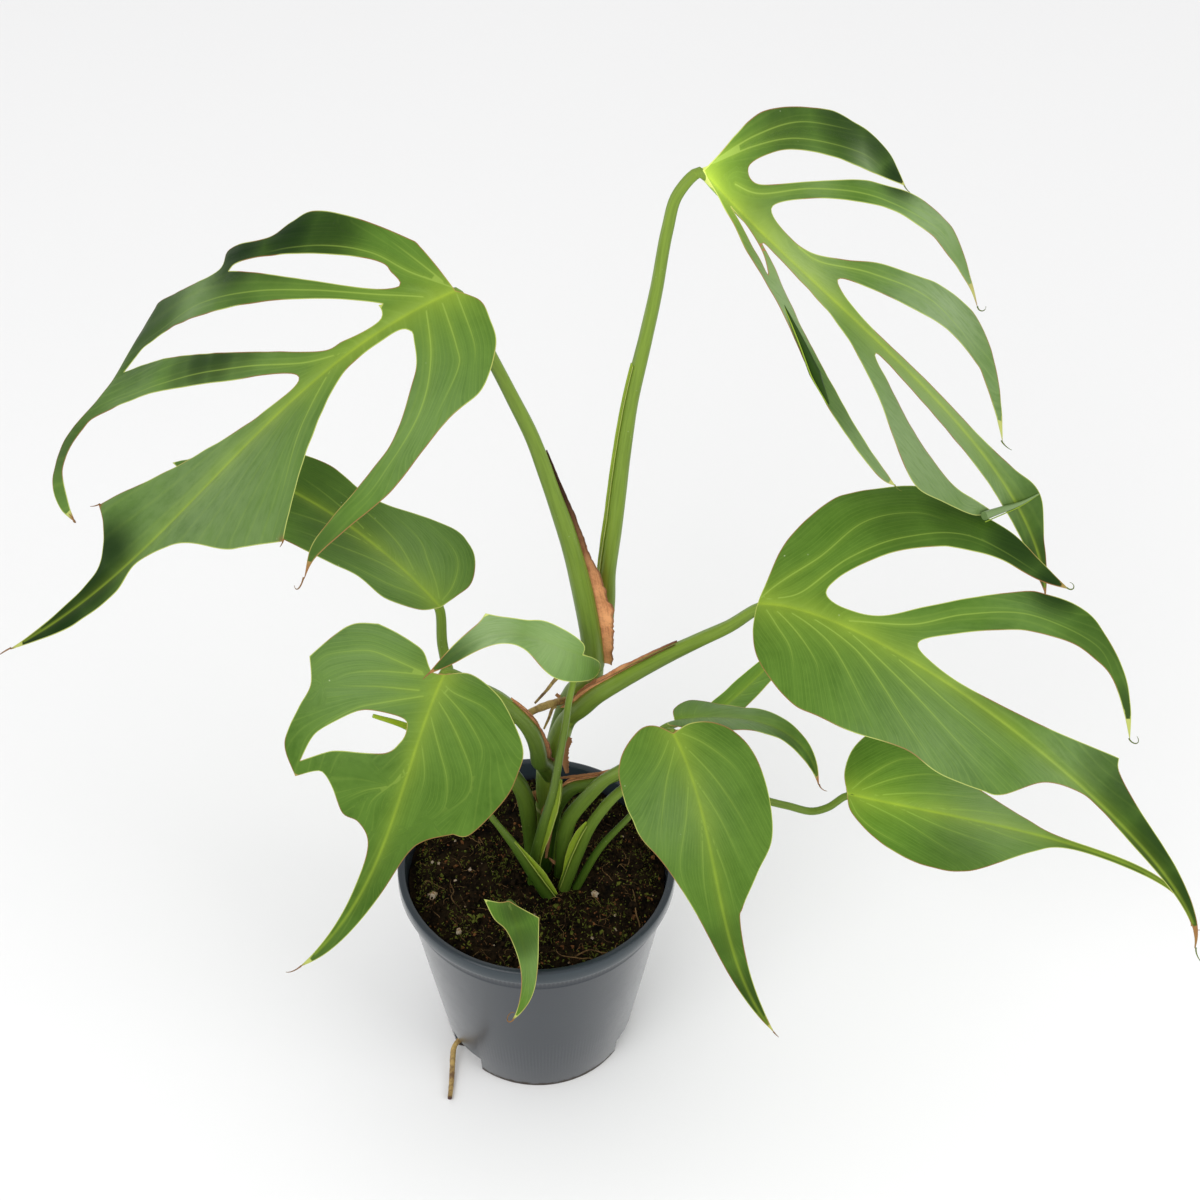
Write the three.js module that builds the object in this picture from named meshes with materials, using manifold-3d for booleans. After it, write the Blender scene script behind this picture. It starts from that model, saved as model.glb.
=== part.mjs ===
// A potted flame monstera, a young climber with split leaves in a 15 cm nursery pot.
// Millimetres, +Z up. The origin is the middle of the pot's flat underside; +X is the side of the two
// right-hand split leaves, and -Y is the side that most blades face.
import * as THREE from "three";
import { mergeVertices } from "three/addons/utils/BufferGeometryUtils.js";
import { TessellateModifier } from "three/addons/modifiers/TessellateModifier.js";
import Module from "manifold-3d";

const wasm = await Module();
wasm.setup();

// Driving dimensions

const POT_RIM_RADIUS = 75;
const POT_FOOT_RADIUS = 52;
const POT_HEIGHT = 135;
const POT_WALL = 1.8;
const POT_FLOOR = 2.4;
const RIM_BAND_HEIGHT = 9;
const RIM_BAND_STEP = 3;
const RIM_TOP_WIDTH = 4;
const FOOT_NOTCH_TURNS = [-141, -21, 99]; // degrees round from +X
const FOOT_NOTCH_RADIUS = 13;
const FOOT_NOTCH_LENGTH = 16;
const FOOT_NOTCH_CENTRE = 1; // height of the arch's centre
const FOOT_CHAMFER = 2;
const SOIL_TOP = 126;
const SOIL_LEVEL_RADIUS = 54;
const SOIL_EDGE_DROP = 2;
const BLADE_THICKNESS = 1;
const MARGIN_THICKNESS = 0.9;
const MARGIN_END = 0.35; // width at a sheath margin's ends, as a part of its full width
const GAP = 0.35; // between neighbouring solids

// Fineness of the faceted shapes

const EDGE_STEP = 9; // between points along a blade's edge
const BLADE_MESH = 30; // longest edge inside a blade
const BLADE_SPLITS = 8; // most times that an edge inside a blade is halved
const STALK_SIDES = 8;
const ROOT_SIDES = 6;
const STALK_STEP = 13;
const POT_SIDES = 48;
const NOTCH_SIDES = 16;
const SAME_POINT = 1e-3;

// Colours, seen in soft daylight

const paint = (color, roughness) => new THREE.MeshStandardMaterial({ color, roughness, metalness: 0 });
const leafGreen = () => paint(0x5f8f3a, 0.45);
const stalkGreen = () => paint(0x6f9a45, 0.5);
const papery = () => paint(0x9a6238, 0.85);
const youngSheath = () => paint(0x9fb046, 0.6);
const rootBrown = () => paint(0xa98349, 0.8);
const potGrey = () => paint(0x5d666f, 0.55);
const soilBrown = () => paint(0x2e241b, 0.95);

const vector = (point) => new THREE.Vector3(...point);
const radians = THREE.MathUtils.degToRad;

const plant = new THREE.Group();
plant.name = "potted_monstera";

function add(name, geometry, material) {
  const mesh = new THREE.Mesh(geometry, material);
  mesh.name = name;
  plant.add(mesh);
}

// Blades
// A blade is drawn flat and then laid on a bent surface. Flat points are [along, across]: along the
// midrib from the joint with the stalk, and across it, plus to the right seen from above with the tip
// ahead. The outline is a list of stretches, each smooth from its first point, a corner, to the first
// point of the next stretch. The midrib is a Bezier curve in space. side is the direction across the
// blade at the joint and at the tip. fold is how far each half is raised beside the midrib, in degrees,
// and droop how fast it then bends down, in degrees per 100 mm, each as [left, right] at the joint and
// at the tip. back is the droop of the lobes behind the joint.

const blades = {
  leaf_a: {
    midrib: [[-30, -5, 521], [-112, -29, 495], [-156, -49, 402], [-233, -70, 367]],
    side: [[0, 0.87, 0.5], [0.1, 0.87, 0.4]],
    fold: [[8, 8], [5, 5]],
    droop: [[20, 25], [10, 15]],
    back: 20,
    outline: [
      [[0, 0], [6, 24], [10, 32], [36, 69], [49, 76], [62, 80], [82, 98], [93, 95], [131, 126], [139, 126],
        [162, 114], [177, 103], [204, 94], [215, 78], [219, 65], [218, 52]],
      [[213, 40], [213, 54], [211, 72], [204, 84], [196, 90], [186, 91], [164, 80], [145, 66], [110, 35]],
      [[78, 6], [102, 6], [135, 15], [185, 35]],
      [[198, 39], [199, 28], [203, 18], [213, 8], [240, 3]],
      [[265, 0], [247, -5], [225, -9], [206, -9], [190, -4], [165, -16], [145, -39], [135, -47]],
      [[118, -59], [96, -35], [76, -18], [62, -9], [52, -6], [31, -5], [25, -8], [25, -13], [31, -28],
        [51, -49], [69, -58], [95, -66], [108, -71]],
      [[118, -81], [107, -76], [74, -73], [58, -69], [27, -55], [6, -48], [-7, -32], [-9, -19], [-8, -9]],
    ],
    holes: [
      [[[86, 86], [75, 80], [28, 33], [21, 20], [21, 13], [35, 22], [60, 51]]],
      [[[164, 104], [155, 106], [144, 104], [119, 90], [38, 17], [32, 10], [35, 4], [52, 6], [72, 16],
        [137, 82]]],
    ],
  },
  leaf_b: {
    midrib: [[75, 30, 559], [127, 43, 482], [238, 37, 402], [253, 25, 315]],
    side: [[-0.5, -0.7, 0.1], [-0.7, -0.5, -0.35]],
    fold: [[8, 8], [5, 5]],
    droop: [[25, 20], [15, 10]],
    back: 20,
    outline: [
      [[0, 0], [12, -36], [26, -54], [49, -72], [60, -78], [80, -82], [93, -79]],
      [[104, -70], [67, -57], [42, -43], [28, -29]],
      [[22, -18], [31, -16], [56, -36], [81, -56], [92, -62], [111, -70], [128, -71], [140, -67]],
      [[164, -47], [152, -53], [133, -58], [124, -59], [103, -55], [83, -45], [62, -31]],
      [[43, -12], [53, -8], [71, -9], [90, -18], [108, -29], [130, -38], [141, -42], [162, -44], [178, -39],
        [192, -30]],
      [[216, -11], [187, -24], [178, -27], [156, -28], [133, -23], [109, -16]],
      [[92, -7], [115, -3], [160, -3], [202, -4], [230, -8], [251, -13], [276, -5]],
      [[307, 0], [285, 5], [251, 7], [220, 7], [181, 7]],
      [[130, 5], [144, 13], [168, 20], [196, 23], [212, 22], [225, 18]],
      [[240, 13], [231, 23], [210, 32], [190, 38], [170, 34], [144, 23], [119, 13], [94, 7], [70, 5]],
      [[46, 4], [57, 10], [90, 26], [137, 40]],
      [[178, 46], [166, 49], [138, 47], [107, 41], [67, 24], [42, 16], [27, 9]],
    ],
    holes: [],
  },
  leaf_c: {
    midrib: [[106, -25, 356], [160, -41, 378], [321, -96, 259], [325, -105, 204]],
    side: [[-0.2, -0.87, -0.3], [-0.8, -0.4, -0.4]],
    fold: [[8, 8], [5, 5]],
    droop: [[25, 20], [15, 10]],
    back: 20,
    outline: [
      [[0, 0], [3, -10], [8, -33], [19, -59], [27, -68], [44, -82], [55, -85], [90, -85], [108, -79]],
      [[126, -74], [112, -69], [93, -68], [75, -62], [67, -58], [52, -46], [40, -32], [32, -20]],
      [[30, -11], [40, -8], [56, -12], [72, -26], [90, -43], [109, -60], [118, -65], [131, -69], [144, -68],
        [164, -57], [176, -46]],
      [[186, -32], [164, -49], [150, -52], [137, -51], [120, -44], [109, -37], [90, -22]],
      [[77, -8], [89, -4], [112, -4], [151, -11]],
      [[187, -22], [192, -17], [212, -11], [250, -6]],
      [[296, 0], [228, 3], [197, 2], [182, 3], [164, 11], [149, 29], [138, 34], [115, 40], [94, 40], [65, 47],
        [48, 48], [35, 48], [21, 42], [7, 30], [1, 16]],
    ],
    holes: [],
  },
  leaf_d: {
    midrib: [[-40, -45, 327], [-63, -68, 282], [-68, -88, 216], [-113, -110, 186]],
    side: [[-0.9, 0.3, 0.3], [-0.9, 0.3, 0.3]],
    fold: [[8, 8], [5, 5]],
    droop: [[20, 20], [10, 10]],
    back: 20,
    outline: [
      [[0, 0], [1, 6], [-6, 13], [-8, 19], [-9, 28]],
      [[-9, 38], [-4, 48], [5, 55]],
      [[17, 62], [28, 57], [40, 59], [53, 61], [63, 60]],
      [[76, 51], [69, 42], [69, 38], [75, 32], [86, 24], [88, 15], [98, 7], [125, 4]],
      [[174, 0], [158, -4], [125, -8], [96, -12], [84, -18]],
      [[75, -30], [72, -38], [49, -48], [33, -50], [18, -48], [1, -34], [-5, -22], [-6, -10]],
    ],
    holes: [
      [[[67, 51], [54, 49], [46, 45], [33, 33], [29, 24], [28, 10], [33, 7], [40, 8], [48, 14], [54, 34],
        [59, 42]]],
    ],
  },
  leaf_e: {
    midrib: [[-45, 10, 317], [-80, 37, 344], [-128, 64, 359], [-174, 85, 346]],
    side: [[0.62, 0.75, 0.1], [0.5, 0.8, 0.2]],
    fold: [[8, 8], [5, 5]],
    droop: [[20, 20], [10, 10]],
    back: 20,
    outline: [
      [[0, 0], [-1, 10], [-1, 20], [6, 30], [14, 34], [23, 34], [43, 25], [56, 20], [69, 19], [87, 22],
        [105, 20], [135, 11]],
      [[165, -4], [148, -13], [120, -22], [94, -27], [79, -27], [57, -24], [39, -20], [22, -19], [6, -10]],
    ],
    holes: [],
  },
  leaf_f: {
    midrib: [[25, -10, 305], [-1, -26, 332], [-11, -29, 357], [-47, -55, 337]],
    side: [[0.3, 0.7, 0.5], [0, 0.7, 0.7]],
    fold: [[5, 15], [5, 5]],
    droop: [[60, 20], [20, 10]],
    back: 60,
    outline: [
      [[0, 0], [3, 5], [15, 8], [34, 9], [46, 7], [58, 8]],
      [[65, 11], [70, 7], [85, 3]],
      [[100, 0], [85, -4], [57, -5], [43, -7], [23, -14], [10, -15], [-6, -12], [-14, -8], [-15, -2],
        [-8, 0]],
    ],
    holes: [],
  },
  leaf_g: {
    midrib: [[68, -60, 304], [93, -81, 259], [89, -102, 186], [122, -120, 149]],
    side: [[-0.9, 0, 0.3], [-0.9, 0, 0.2]],
    fold: [[8, 8], [5, 5]],
    droop: [[20, 20], [10, 10]],
    back: 20,
    outline: [
      [[0, 0], [-8, 6], [-10, 14], [-4, 26], [6, 32], [25, 34], [36, 33], [49, 31], [70, 22], [102, 12],
        [140, 5]],
      [[176, 0], [157, -3], [110, -7], [100, -10], [81, -21], [66, -30], [45, -33], [24, -32], [11, -27],
        [3, -19], [-1, -9]],
    ],
    holes: [],
  },
  leaf_h: {
    midrib: [[69, -38, 290], [100, -41, 301], [132, -43, 295], [140, -45, 258]],
    side: [[-0.1, -0.9, 0.4], [-0.8, -0.5, -0.1]],
    fold: [[8, 8], [5, 5]],
    droop: [[30, 20], [10, 10]],
    back: 20,
    outline: [
      [[0, 0], [-2, -10], [2, -16], [8, -17], [23, -10], [33, -8], [43, -8], [66, -4]],
      [[98, 0], [75, 4], [52, 6], [35, 11], [26, 17], [15, 19], [5, 13], [-2, 6]],
    ],
    holes: [],
  },
  leaf_i: {
    midrib: [[158, -30, 228], [201, -41, 224], [320, -69, 236], [332, -75, 184]],
    side: [[0.1, -0.9, -0.3], [-0.3, -0.9, -0.4]],
    fold: [[8, 8], [5, 5]],
    droop: [[20, 20], [10, 10]],
    back: 20,
    outline: [
      [[0, 0], [-4, -10], [-3, -23], [3, -33], [12, -35], [23, -33], [45, -24], [69, -14], [88, -7],
        [109, -3], [157, -3]],
      [[198, 0], [150, 3], [112, 3], [95, 10], [74, 24], [62, 29], [50, 30], [35, 28], [18, 21], [4, 10]],
    ],
    holes: [],
  },
  leaf_j: {
    midrib: [[84, -12, 260], [107, 5, 262], [124, 24, 282], [150, 40, 277]],
    side: [[0.7, -0.5, 0.4], [0.7, -0.5, 0.4]],
    fold: [[8, 8], [5, 5]],
    droop: [[20, 20], [10, 10]],
    back: 20,
    outline: [
      [[0, 0], [-4, 5], [0, 11], [14, 14], [30, 13], [50, 10], [70, 5]],
      [[87, 0], [70, -4], [43, -7], [21, -8], [5, -8], [-3, -4]],
    ],
    holes: [],
  },
  leaf_k: {
    midrib: [[-12, -62, 179], [-6, -75, 164], [6, -87, 142], [-10, -100, 129]],
    side: [[-0.9, 0, 0.2], [-0.9, 0, 0.2]],
    fold: [[8, 8], [5, 5]],
    droop: [[20, 20], [10, 10]],
    back: 20,
    outline: [
      [[0, 0], [-1, 5]],
      [[-5, 12], [6, 10], [14, 6], [30, 4], [51, 3]],
      [[66, 0], [52, -3], [38, -5], [25, -8]],
      [[13, -12]],
    ],
    holes: [],
  },
};

// The distance out and up after a length on a section that starts at a slope and bends down evenly.
function bend(length, slope, rate) {
  const straightest = 1e-6;
  const steady = Math.abs(rate) < straightest ? straightest : rate;
  const end = slope - steady * length;
  return { out: (Math.sin(slope) - Math.sin(end)) / steady, up: (Math.cos(end) - Math.cos(slope)) / steady };
}

// The bent surface of a blade, as a function of the flat point and the height above the surface.
function bladeSurface(blade) {
  const midrib = new THREE.CubicBezierCurve3(...blade.midrib.map(vector));
  const length = midrib.getLength();
  const [sideAtJoint, sideAtTip] = blade.side.map(vector);
  const onSurface = (along, across) => {
    const part = THREE.MathUtils.clamp(along / length, 0, 1);
    const ahead = midrib.getTangentAt(part);
    const side = sideAtJoint.clone().normalize().lerp(sideAtTip.clone().normalize(), part);
    side.addScaledVector(ahead, -side.dot(ahead)).normalize();
    const up = new THREE.Vector3().crossVectors(side, ahead);
    const half = across < 0 ? 0 : 1;
    const slope = radians(THREE.MathUtils.lerp(blade.fold[0][half], blade.fold[1][half], part));
    const rate = radians(THREE.MathUtils.lerp(blade.droop[0][half], blade.droop[1][half], part)) / 100;
    const section = bend(Math.abs(across), slope, rate);
    const behind = bend(Math.max(-along, 0), 0, radians(blade.back) / 100);
    return midrib
      .getPointAt(part)
      .addScaledVector(ahead, Math.max(along - length, 0) - behind.out)
      .addScaledVector(side, across < 0 ? -section.out : section.out)
      .addScaledVector(up, section.up + behind.up);
  };
  return (along, across, height = 0) => {
    const point = onSurface(along, across);
    if (!height) return point;
    const near = 0.5;
    const ahead = onSurface(along + near, across).sub(onSurface(along - near, across));
    const right = across < 0
      ? onSurface(along, across).sub(onSurface(along, across - near))
      : onSurface(along, across + near).sub(onSurface(along, across));
    return point.addScaledVector(right.cross(ahead).normalize(), height);
  };
}

// The points of a closed outline given as smooth stretches between corners.
function outlinePoints(stretches) {
  const points = [];
  stretches.forEach((stretch, i) => {
    const nextCorner = stretches[(i + 1) % stretches.length][0];
    const curve = new THREE.SplineCurve(
      [...stretch, nextCorner].map(([along, across]) => new THREE.Vector2(across, along)),
    );
    const steps = Math.max(1, Math.round(curve.getLength() / EDGE_STEP));
    points.push(...curve.getSpacedPoints(steps).slice(0, -1));
  });
  return points;
}

// A closed sheet: the upper and lower faces, and a wall along every edge that only one triangle has.
function bladeGeometry(blade) {
  const surface = bladeSurface(blade);
  const shape = new THREE.Shape(outlinePoints(blade.outline));
  shape.holes = blade.holes.map((hole) => new THREE.Path(outlinePoints(hole)));
  const tessellate = new TessellateModifier(BLADE_MESH, BLADE_SPLITS);
  const flat = new THREE.ShapeGeometry(shape);
  flat.deleteAttribute("normal");
  flat.deleteAttribute("uv");
  const fine = mergeVertices(tessellate.modify(flat), SAME_POINT);
  const flatPoints = fine.attributes.position;
  const count = flatPoints.count;
  const positions = [];
  for (const height of [BLADE_THICKNESS / 2, -BLADE_THICKNESS / 2])
    for (let i = 0; i < count; i += 1)
      positions.push(...surface(flatPoints.getY(i), flatPoints.getX(i), height).toArray());
  const upper = fine.index.array;
  const faces = [];
  const open = new Map();
  for (let i = 0; i < upper.length; i += 3) {
    const corners = [upper[i], upper[i + 1], upper[i + 2]];
    faces.push(...corners, corners[2] + count, corners[1] + count, corners[0] + count);
    corners.forEach((from, k) => {
      const to = corners[(k + 1) % 3];
      if (!open.delete(`${to} ${from}`)) open.set(`${from} ${to}`, [from, to]);
    });
  }
  for (const [from, to] of open.values())
    faces.push(from, from + count, to + count, from, to + count, to);
  const sheet = new THREE.BufferGeometry();
  sheet.setAttribute("position", new THREE.Float32BufferAttribute(positions, 3));
  sheet.setIndex(faces);
  sheet.computeVertexNormals();
  return sheet;
}

for (const [name, blade] of Object.entries(blades)) add(name, bladeGeometry(blade), leafGreen());

// Stalks and roots
// A stalk is a tube along a curve through its points, whose radius runs evenly between the given ones.

const evenly = (values, part) => {
  const place = part * (values.length - 1);
  const below = Math.min(Math.floor(place), values.length - 2);
  return THREE.MathUtils.lerp(values[below], values[below + 1], place - below);
};

const stalkCurve = (points) => new THREE.CatmullRomCurve3(points.map(vector), false, "centripetal");

function stalkGeometry(points, radii, sides = STALK_SIDES) {
  const curve = stalkCurve(points);
  const steps = Math.max(2, Math.round(curve.getLength() / STALK_STEP));
  const drawnRadius = 0.25;
  const section = new THREE.Shape();
  for (let i = 0; i < sides; i += 1) {
    const turn = (2 * Math.PI * i) / sides;
    section[i ? "lineTo" : "moveTo"](drawnRadius * Math.cos(turn), drawnRadius * Math.sin(turn));
  }
  const tube = new THREE.ExtrudeGeometry(section, { steps, extrudePath: curve, bevelEnabled: false });
  const centres = curve.getSpacedPoints(steps);
  const positions = tube.attributes.position;
  const vertex = new THREE.Vector3();
  for (let i = 0; i < positions.count; i += 1) {
    vertex.fromBufferAttribute(positions, i);
    const distances = centres.map((centre) => centre.distanceTo(vertex));
    const nearest = distances.indexOf(Math.min(...distances));
    const spread = evenly(radii, nearest / steps) / drawnRadius;
    vertex.sub(centres[nearest]).multiplyScalar(spread).add(centres[nearest]);
    positions.setXYZ(i, vertex.x, vertex.y, vertex.z);
  }
  return tube;
}

// The end of a stalk under a blade's joint, clear of the blade however the stalk leans.
function seatUnder(bladeName, points, radius) {
  const surface = bladeSurface(blades[bladeName]);
  const joint = surface(radius, 0);
  const up = surface(radius, 0, 1).sub(joint);
  const lean = stalkCurve([...points, joint.toArray()]).getTangentAt(1);
  const slant = Math.sqrt(1 - lean.dot(up) ** 2);
  const drop = BLADE_THICKNESS / 2 + GAP + radius * slant;
  return joint.addScaledVector(up, -drop).toArray();
}

// The start of a stalk on the soil, with its end face clear of it.
function seatOnSoil(x, y, next, radius) {
  const rise = new THREE.Vector3(next[0] - x, next[1] - y, next[2] - SOIL_TOP).normalize();
  return [x, y, SOIL_TOP + GAP + radius * Math.sqrt(1 - rise.z ** 2)];
}

const stalks = {
  petiole_a: {
    blade: "leaf_a",
    points: [[30, 11.5, 276], [28, 9, 303], [24, 8, 332], [18, 6, 366], [10, 4, 400], [2, 1, 433],
      [-8, -2, 463], [-15, -4, 483], [-22, -5, 503]],
    radii: [5.4, 5.2, 4, 3.2, 2.6],
  },
  petiole_b: {
    blade: "leaf_b",
    points: [[34.4, 18.4, 285], [36, 22, 311], [36, 22, 332], [39, 22, 365], [42, 23, 402], [46, 24, 438],
      [52, 25, 474], [56, 26, 499], [60, 27, 530], [64, 28, 548]],
    radii: [4, 4.6, 3.8, 3, 2.4],
  },
  petiole_c: {
    blade: "leaf_c",
    points: [[16.9, 9.9, 238.8], [24, 4, 253], [30, 0, 265], [38, -5, 278], [53, -10, 296], [67, -14, 311],
      [81, -18, 325], [94, -22, 338]],
    radii: [5, 5, 4.2, 3.4, 2.6],
  },
  petiole_d: {
    blade: "leaf_d",
    points: [[4.5, 1.1, 213], [2.5, -5, 222], [2, -10, 236], [-1, -18, 259], [-8, -27, 282], [-16, -34, 300],
      [-26, -40, 314]],
    radii: [4, 4.4, 4, 3.2, 2.4],
  },
  petiole_e: {
    blade: "leaf_e",
    root: [-4, 5],
    points: [[-3.5, 3, 155], [-6, -2.5, 193], [-17, -6, 223], [-30, -4, 251], [-41, 3, 273], [-45, 8, 292]],
    radii: [2.6, 4.6, 4.2, 2.8, 2.4],
  },
  petiole_f: {
    blade: "leaf_f",
    root: [-2, -6],
    points: [[-0.5, -9.5, 150], [5, -15.5, 186], [10, -16.5, 212], [13, -16, 236], [16, -15.5, 259],
      [18, -14.5, 277], [20, -13, 288]],
    radii: [2.9, 2.7, 2, 1.7],
  },
  petiole_g: {
    blade: "leaf_g",
    root: [12, -1],
    points: [[14.5, -7, 158], [18, -14, 187], [28, -22, 215], [36, -30, 236], [46, -40, 257], [57, -50, 281]],
    radii: [4.2, 4.4, 3.6, 2.8, 2.4],
  },
  petiole_h: {
    blade: "leaf_h",
    root: [3.5, 2],
    points: [[7, -0.5, 163], [11, -3, 185], [20, -7, 204], [32, -14, 216.5], [46, -24, 236], [58, -32, 262],
      [64, -35, 280]],
    radii: [4.2, 4.4, 3.6, 2.4, 1.8],
  },
  petiole_i: {
    blade: "leaf_i",
    root: [15, -10],
    points: [[23, -13, 161], [31, -18, 191], [45, -25, 223], [63, -34, 245], [83, -38, 248], [103, -36, 236],
      [118, -34, 226], [129, -33, 221], [141, -32, 216], [149, -31, 218]],
    radii: [3.5, 3, 2.4, 2, 1.9],
  },
  petiole_j: {
    blade: "leaf_j",
    root: [22, -9],
    points: [[34, -11, 160], [50, -14, 191], [64, -15, 219], [76, -14, 245]],
    radii: [2.4, 1.5, 1.3],
  },
  petiole_k: {
    blade: "leaf_k",
    root: [-4, -49],
    points: [[-3, -52, 140], [-5, -56, 158]],
    radii: [2.2, 1.6, 1.3],
  },
  spear: {
    root: [6, -14],
    points: [[-3, -19, 153], [-10, -24, 176], [-22, -31, 209], [-36, -38, 244], [-49, -42, 274],
      [-59, -44, 289], [-75, -46, 299]],
    radii: [4.6, 4, 1.9, 1.6, 2, 0.6],
  },
  stem: {
    root: [6, 12],
    points: [[6, 12.5, 150], [6.5, 11.5, 177], [7, 9, 203], [11, 8.5, 220], [16, 10, 236]],
    radii: [5.6, 6.2, 6.9, 6.8, 5.6, 5.4],
  },
  stem_upper: {
    points: [[14, 20.1, 231], [19, 18.5, 248], [26, 14, 262], [29.6, 11.8, 269], [30, 11.5, 275]],
    radii: [3.6, 4.8, 4.9],
  },
};

for (const [name, stalk] of Object.entries(stalks)) {
  const points = [...stalk.points];
  if (stalk.root) points.unshift(seatOnSoil(...stalk.root, points[0], stalk.radii[0]));
  if (stalk.blade) points.push(seatUnder(stalk.blade, points, stalk.radii.at(-1)));
  stalk.points = points;
  add(name, stalkGeometry(points, stalk.radii), stalkGreen());
}

// Roots in the air and one that has grown out of the pot

const roots = {
  aerial_root_thick: {
    points: [[15.8, 14.2, 247.8], [5.3, 7, 250.2], [-4.7, 3, 247.6], [-14.9, 1, 239.9]],
    radii: [1.8, 2, 1.7],
  },
  aerial_root_thin: { points: [[9.2, 8.2, 247.2], [7.5, 5.5, 243.5], [4.8, 2, 238.4]], radii: [0.9, 0.8] },
  aerial_root_pale: {
    points: [[24.8, 10.2, 273.8], [13, 6, 273.4], [6.1, 3, 265.5], [0.5, 2, 257.7]],
    radii: [1.2, 1, 0.8],
  },
  drain_root: {
    points: [[-44, -27.4, 7.8], [-47, -31, 6.5], [-46.8, -37, 4.6], [-47.1, -43, 3], [-47.3, -50, 2],
      [-48.9, -62, 1.8]],
    radii: [1.5, 1.6, 1.5, 1.3],
  },
};
for (const [name, root] of Object.entries(roots))
  add(name, stalkGeometry(root.points, root.radii, ROOT_SIDES), rootBrown());

// Sheath margins
// A margin is a thin strip along a stalk. reach is where it begins and ends, as parts of the stalk's
// length, and away is the side of the stalk that it stands on.

const margins = {
  sheath_a: {
    stalk: "petiole_a", reach: [0.02, 0.58], away: [0.9, 0.3, 0.2], width: 4,
    finish: papery(),
  },
  sheath_b: {
    stalk: "petiole_b", reach: [0.1, 0.55], away: [-0.9, -0.2, 0], width: 3,
    finish: youngSheath(),
  },
  sheath_c: {
    stalk: "petiole_c", reach: [0.1, 0.62], away: [-0.3, 0.2, 0.9], width: 2.6,
    finish: papery(),
  },
  sheath_d: {
    stalk: "petiole_d", reach: [0.12, 0.62], away: [0.6, 0.2, 0.8], width: 2.6,
    finish: papery(),
  },
  sheath_f: {
    stalk: "petiole_f", reach: [0.05, 0.5], away: [1, -0.2, 0], width: 3,
    finish: youngSheath(),
  },
  sheath_h: {
    stalk: "petiole_h", reach: [0.36, 0.6], away: [-0.2, 0.3, 0.9], width: 2.4,
    finish: papery(),
  },
  sheath_i: {
    stalk: "petiole_i", reach: [0.04, 0.26], away: [-0.6, -0.3, 0.6], width: 3,
    finish: youngSheath(),
  },
  sheath_spear: {
    stalk: "spear", reach: [0.02, 0.3], away: [0.7, -0.2, 0.6], width: 3.4,
    finish: youngSheath(),
  },
};

function marginGeometry({ stalk, reach: [from, to], away, width }) {
  const { points, radii } = stalks[stalk];
  const curve = stalkCurve(points);
  const steps = Math.max(4, Math.round((curve.getLength() * (to - from)) / STALK_STEP));
  const positions = [];
  for (let i = 0; i <= steps; i += 1) {
    const part = THREE.MathUtils.lerp(from, to, i / steps);
    const ahead = curve.getTangentAt(part);
    const out = vector(away);
    out.addScaledVector(ahead, -out.dot(ahead)).normalize();
    const sideways = new THREE.Vector3().crossVectors(ahead, out);
    const inner = evenly(radii, part) + GAP;
    const outer = inner + width * THREE.MathUtils.lerp(MARGIN_END, 1, Math.sin((Math.PI * i) / steps));
    for (const [distance, turn] of [[inner, -1], [outer, -1], [outer, 1], [inner, 1]])
      positions.push(
        ...curve.getPointAt(part)
          .addScaledVector(out, distance)
          .addScaledVector(sideways, (turn * MARGIN_THICKNESS) / 2)
          .toArray(),
      );
  }
  const faces = [0, 2, 1, 0, 3, 2];
  for (let i = 0; i < steps; i += 1)
    for (let k = 0; k < 4; k += 1) {
      const [here, next] = [4 * i + k, 4 * i + ((k + 1) % 4)];
      faces.push(here, next, next + 4, here, next + 4, here + 4);
    }
  const last = 4 * steps;
  faces.push(last, last + 1, last + 2, last, last + 2, last + 3);
  const strip = new THREE.BufferGeometry();
  strip.setAttribute("position", new THREE.Float32BufferAttribute(positions, 3));
  strip.setIndex(faces);
  strip.computeVertexNormals();
  return strip;
}

for (const [name, margin] of Object.entries(margins)) add(name, marginGeometry(margin), margin.finish);

// Pot and soil

const bandFoot = POT_HEIGHT - RIM_BAND_HEIGHT;

// The outer radius of the plain wall at a height.
const wallRadius = (height) =>
  THREE.MathUtils.lerp(POT_FOOT_RADIUS, POT_RIM_RADIUS - RIM_BAND_STEP, height / bandFoot);

function latheSolid(profile) {
  const turned = new THREE.LatheGeometry(profile.map((corner) => new THREE.Vector2(...corner)), POT_SIDES);
  return turned.rotateX(Math.PI / 2);
}

function solid(geometry) {
  const bare = new THREE.BufferGeometry().setAttribute("position", geometry.getAttribute("position"));
  bare.setIndex(geometry.index);
  const merged = mergeVertices(bare, SAME_POINT);
  return new wasm.Manifold(
    new wasm.Mesh({
      numProp: 3,
      vertProperties: merged.attributes.position.array,
      triVerts: new Uint32Array(merged.index.array),
    }),
  );
}

function geometryOf(manifold) {
  const mesh = manifold.getMesh();
  const geometry = new THREE.BufferGeometry();
  geometry.setAttribute("position", new THREE.BufferAttribute(mesh.vertProperties, 3));
  geometry.setIndex(new THREE.BufferAttribute(mesh.triVerts, 1));
  geometry.computeVertexNormals();
  return geometry;
}

const potProfile = [
  [0, 0],
  [POT_FOOT_RADIUS - FOOT_CHAMFER, 0],
  [wallRadius(FOOT_CHAMFER), FOOT_CHAMFER],
  [wallRadius(bandFoot), bandFoot],
  [POT_RIM_RADIUS, bandFoot],
  [POT_RIM_RADIUS, POT_HEIGHT],
  [POT_RIM_RADIUS - RIM_TOP_WIDTH, POT_HEIGHT],
  [wallRadius(bandFoot) - POT_WALL, bandFoot],
  [wallRadius(POT_FLOOR) - POT_WALL, POT_FLOOR],
  [0, POT_FLOOR],
];
let pot = solid(latheSolid(potProfile));

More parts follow.
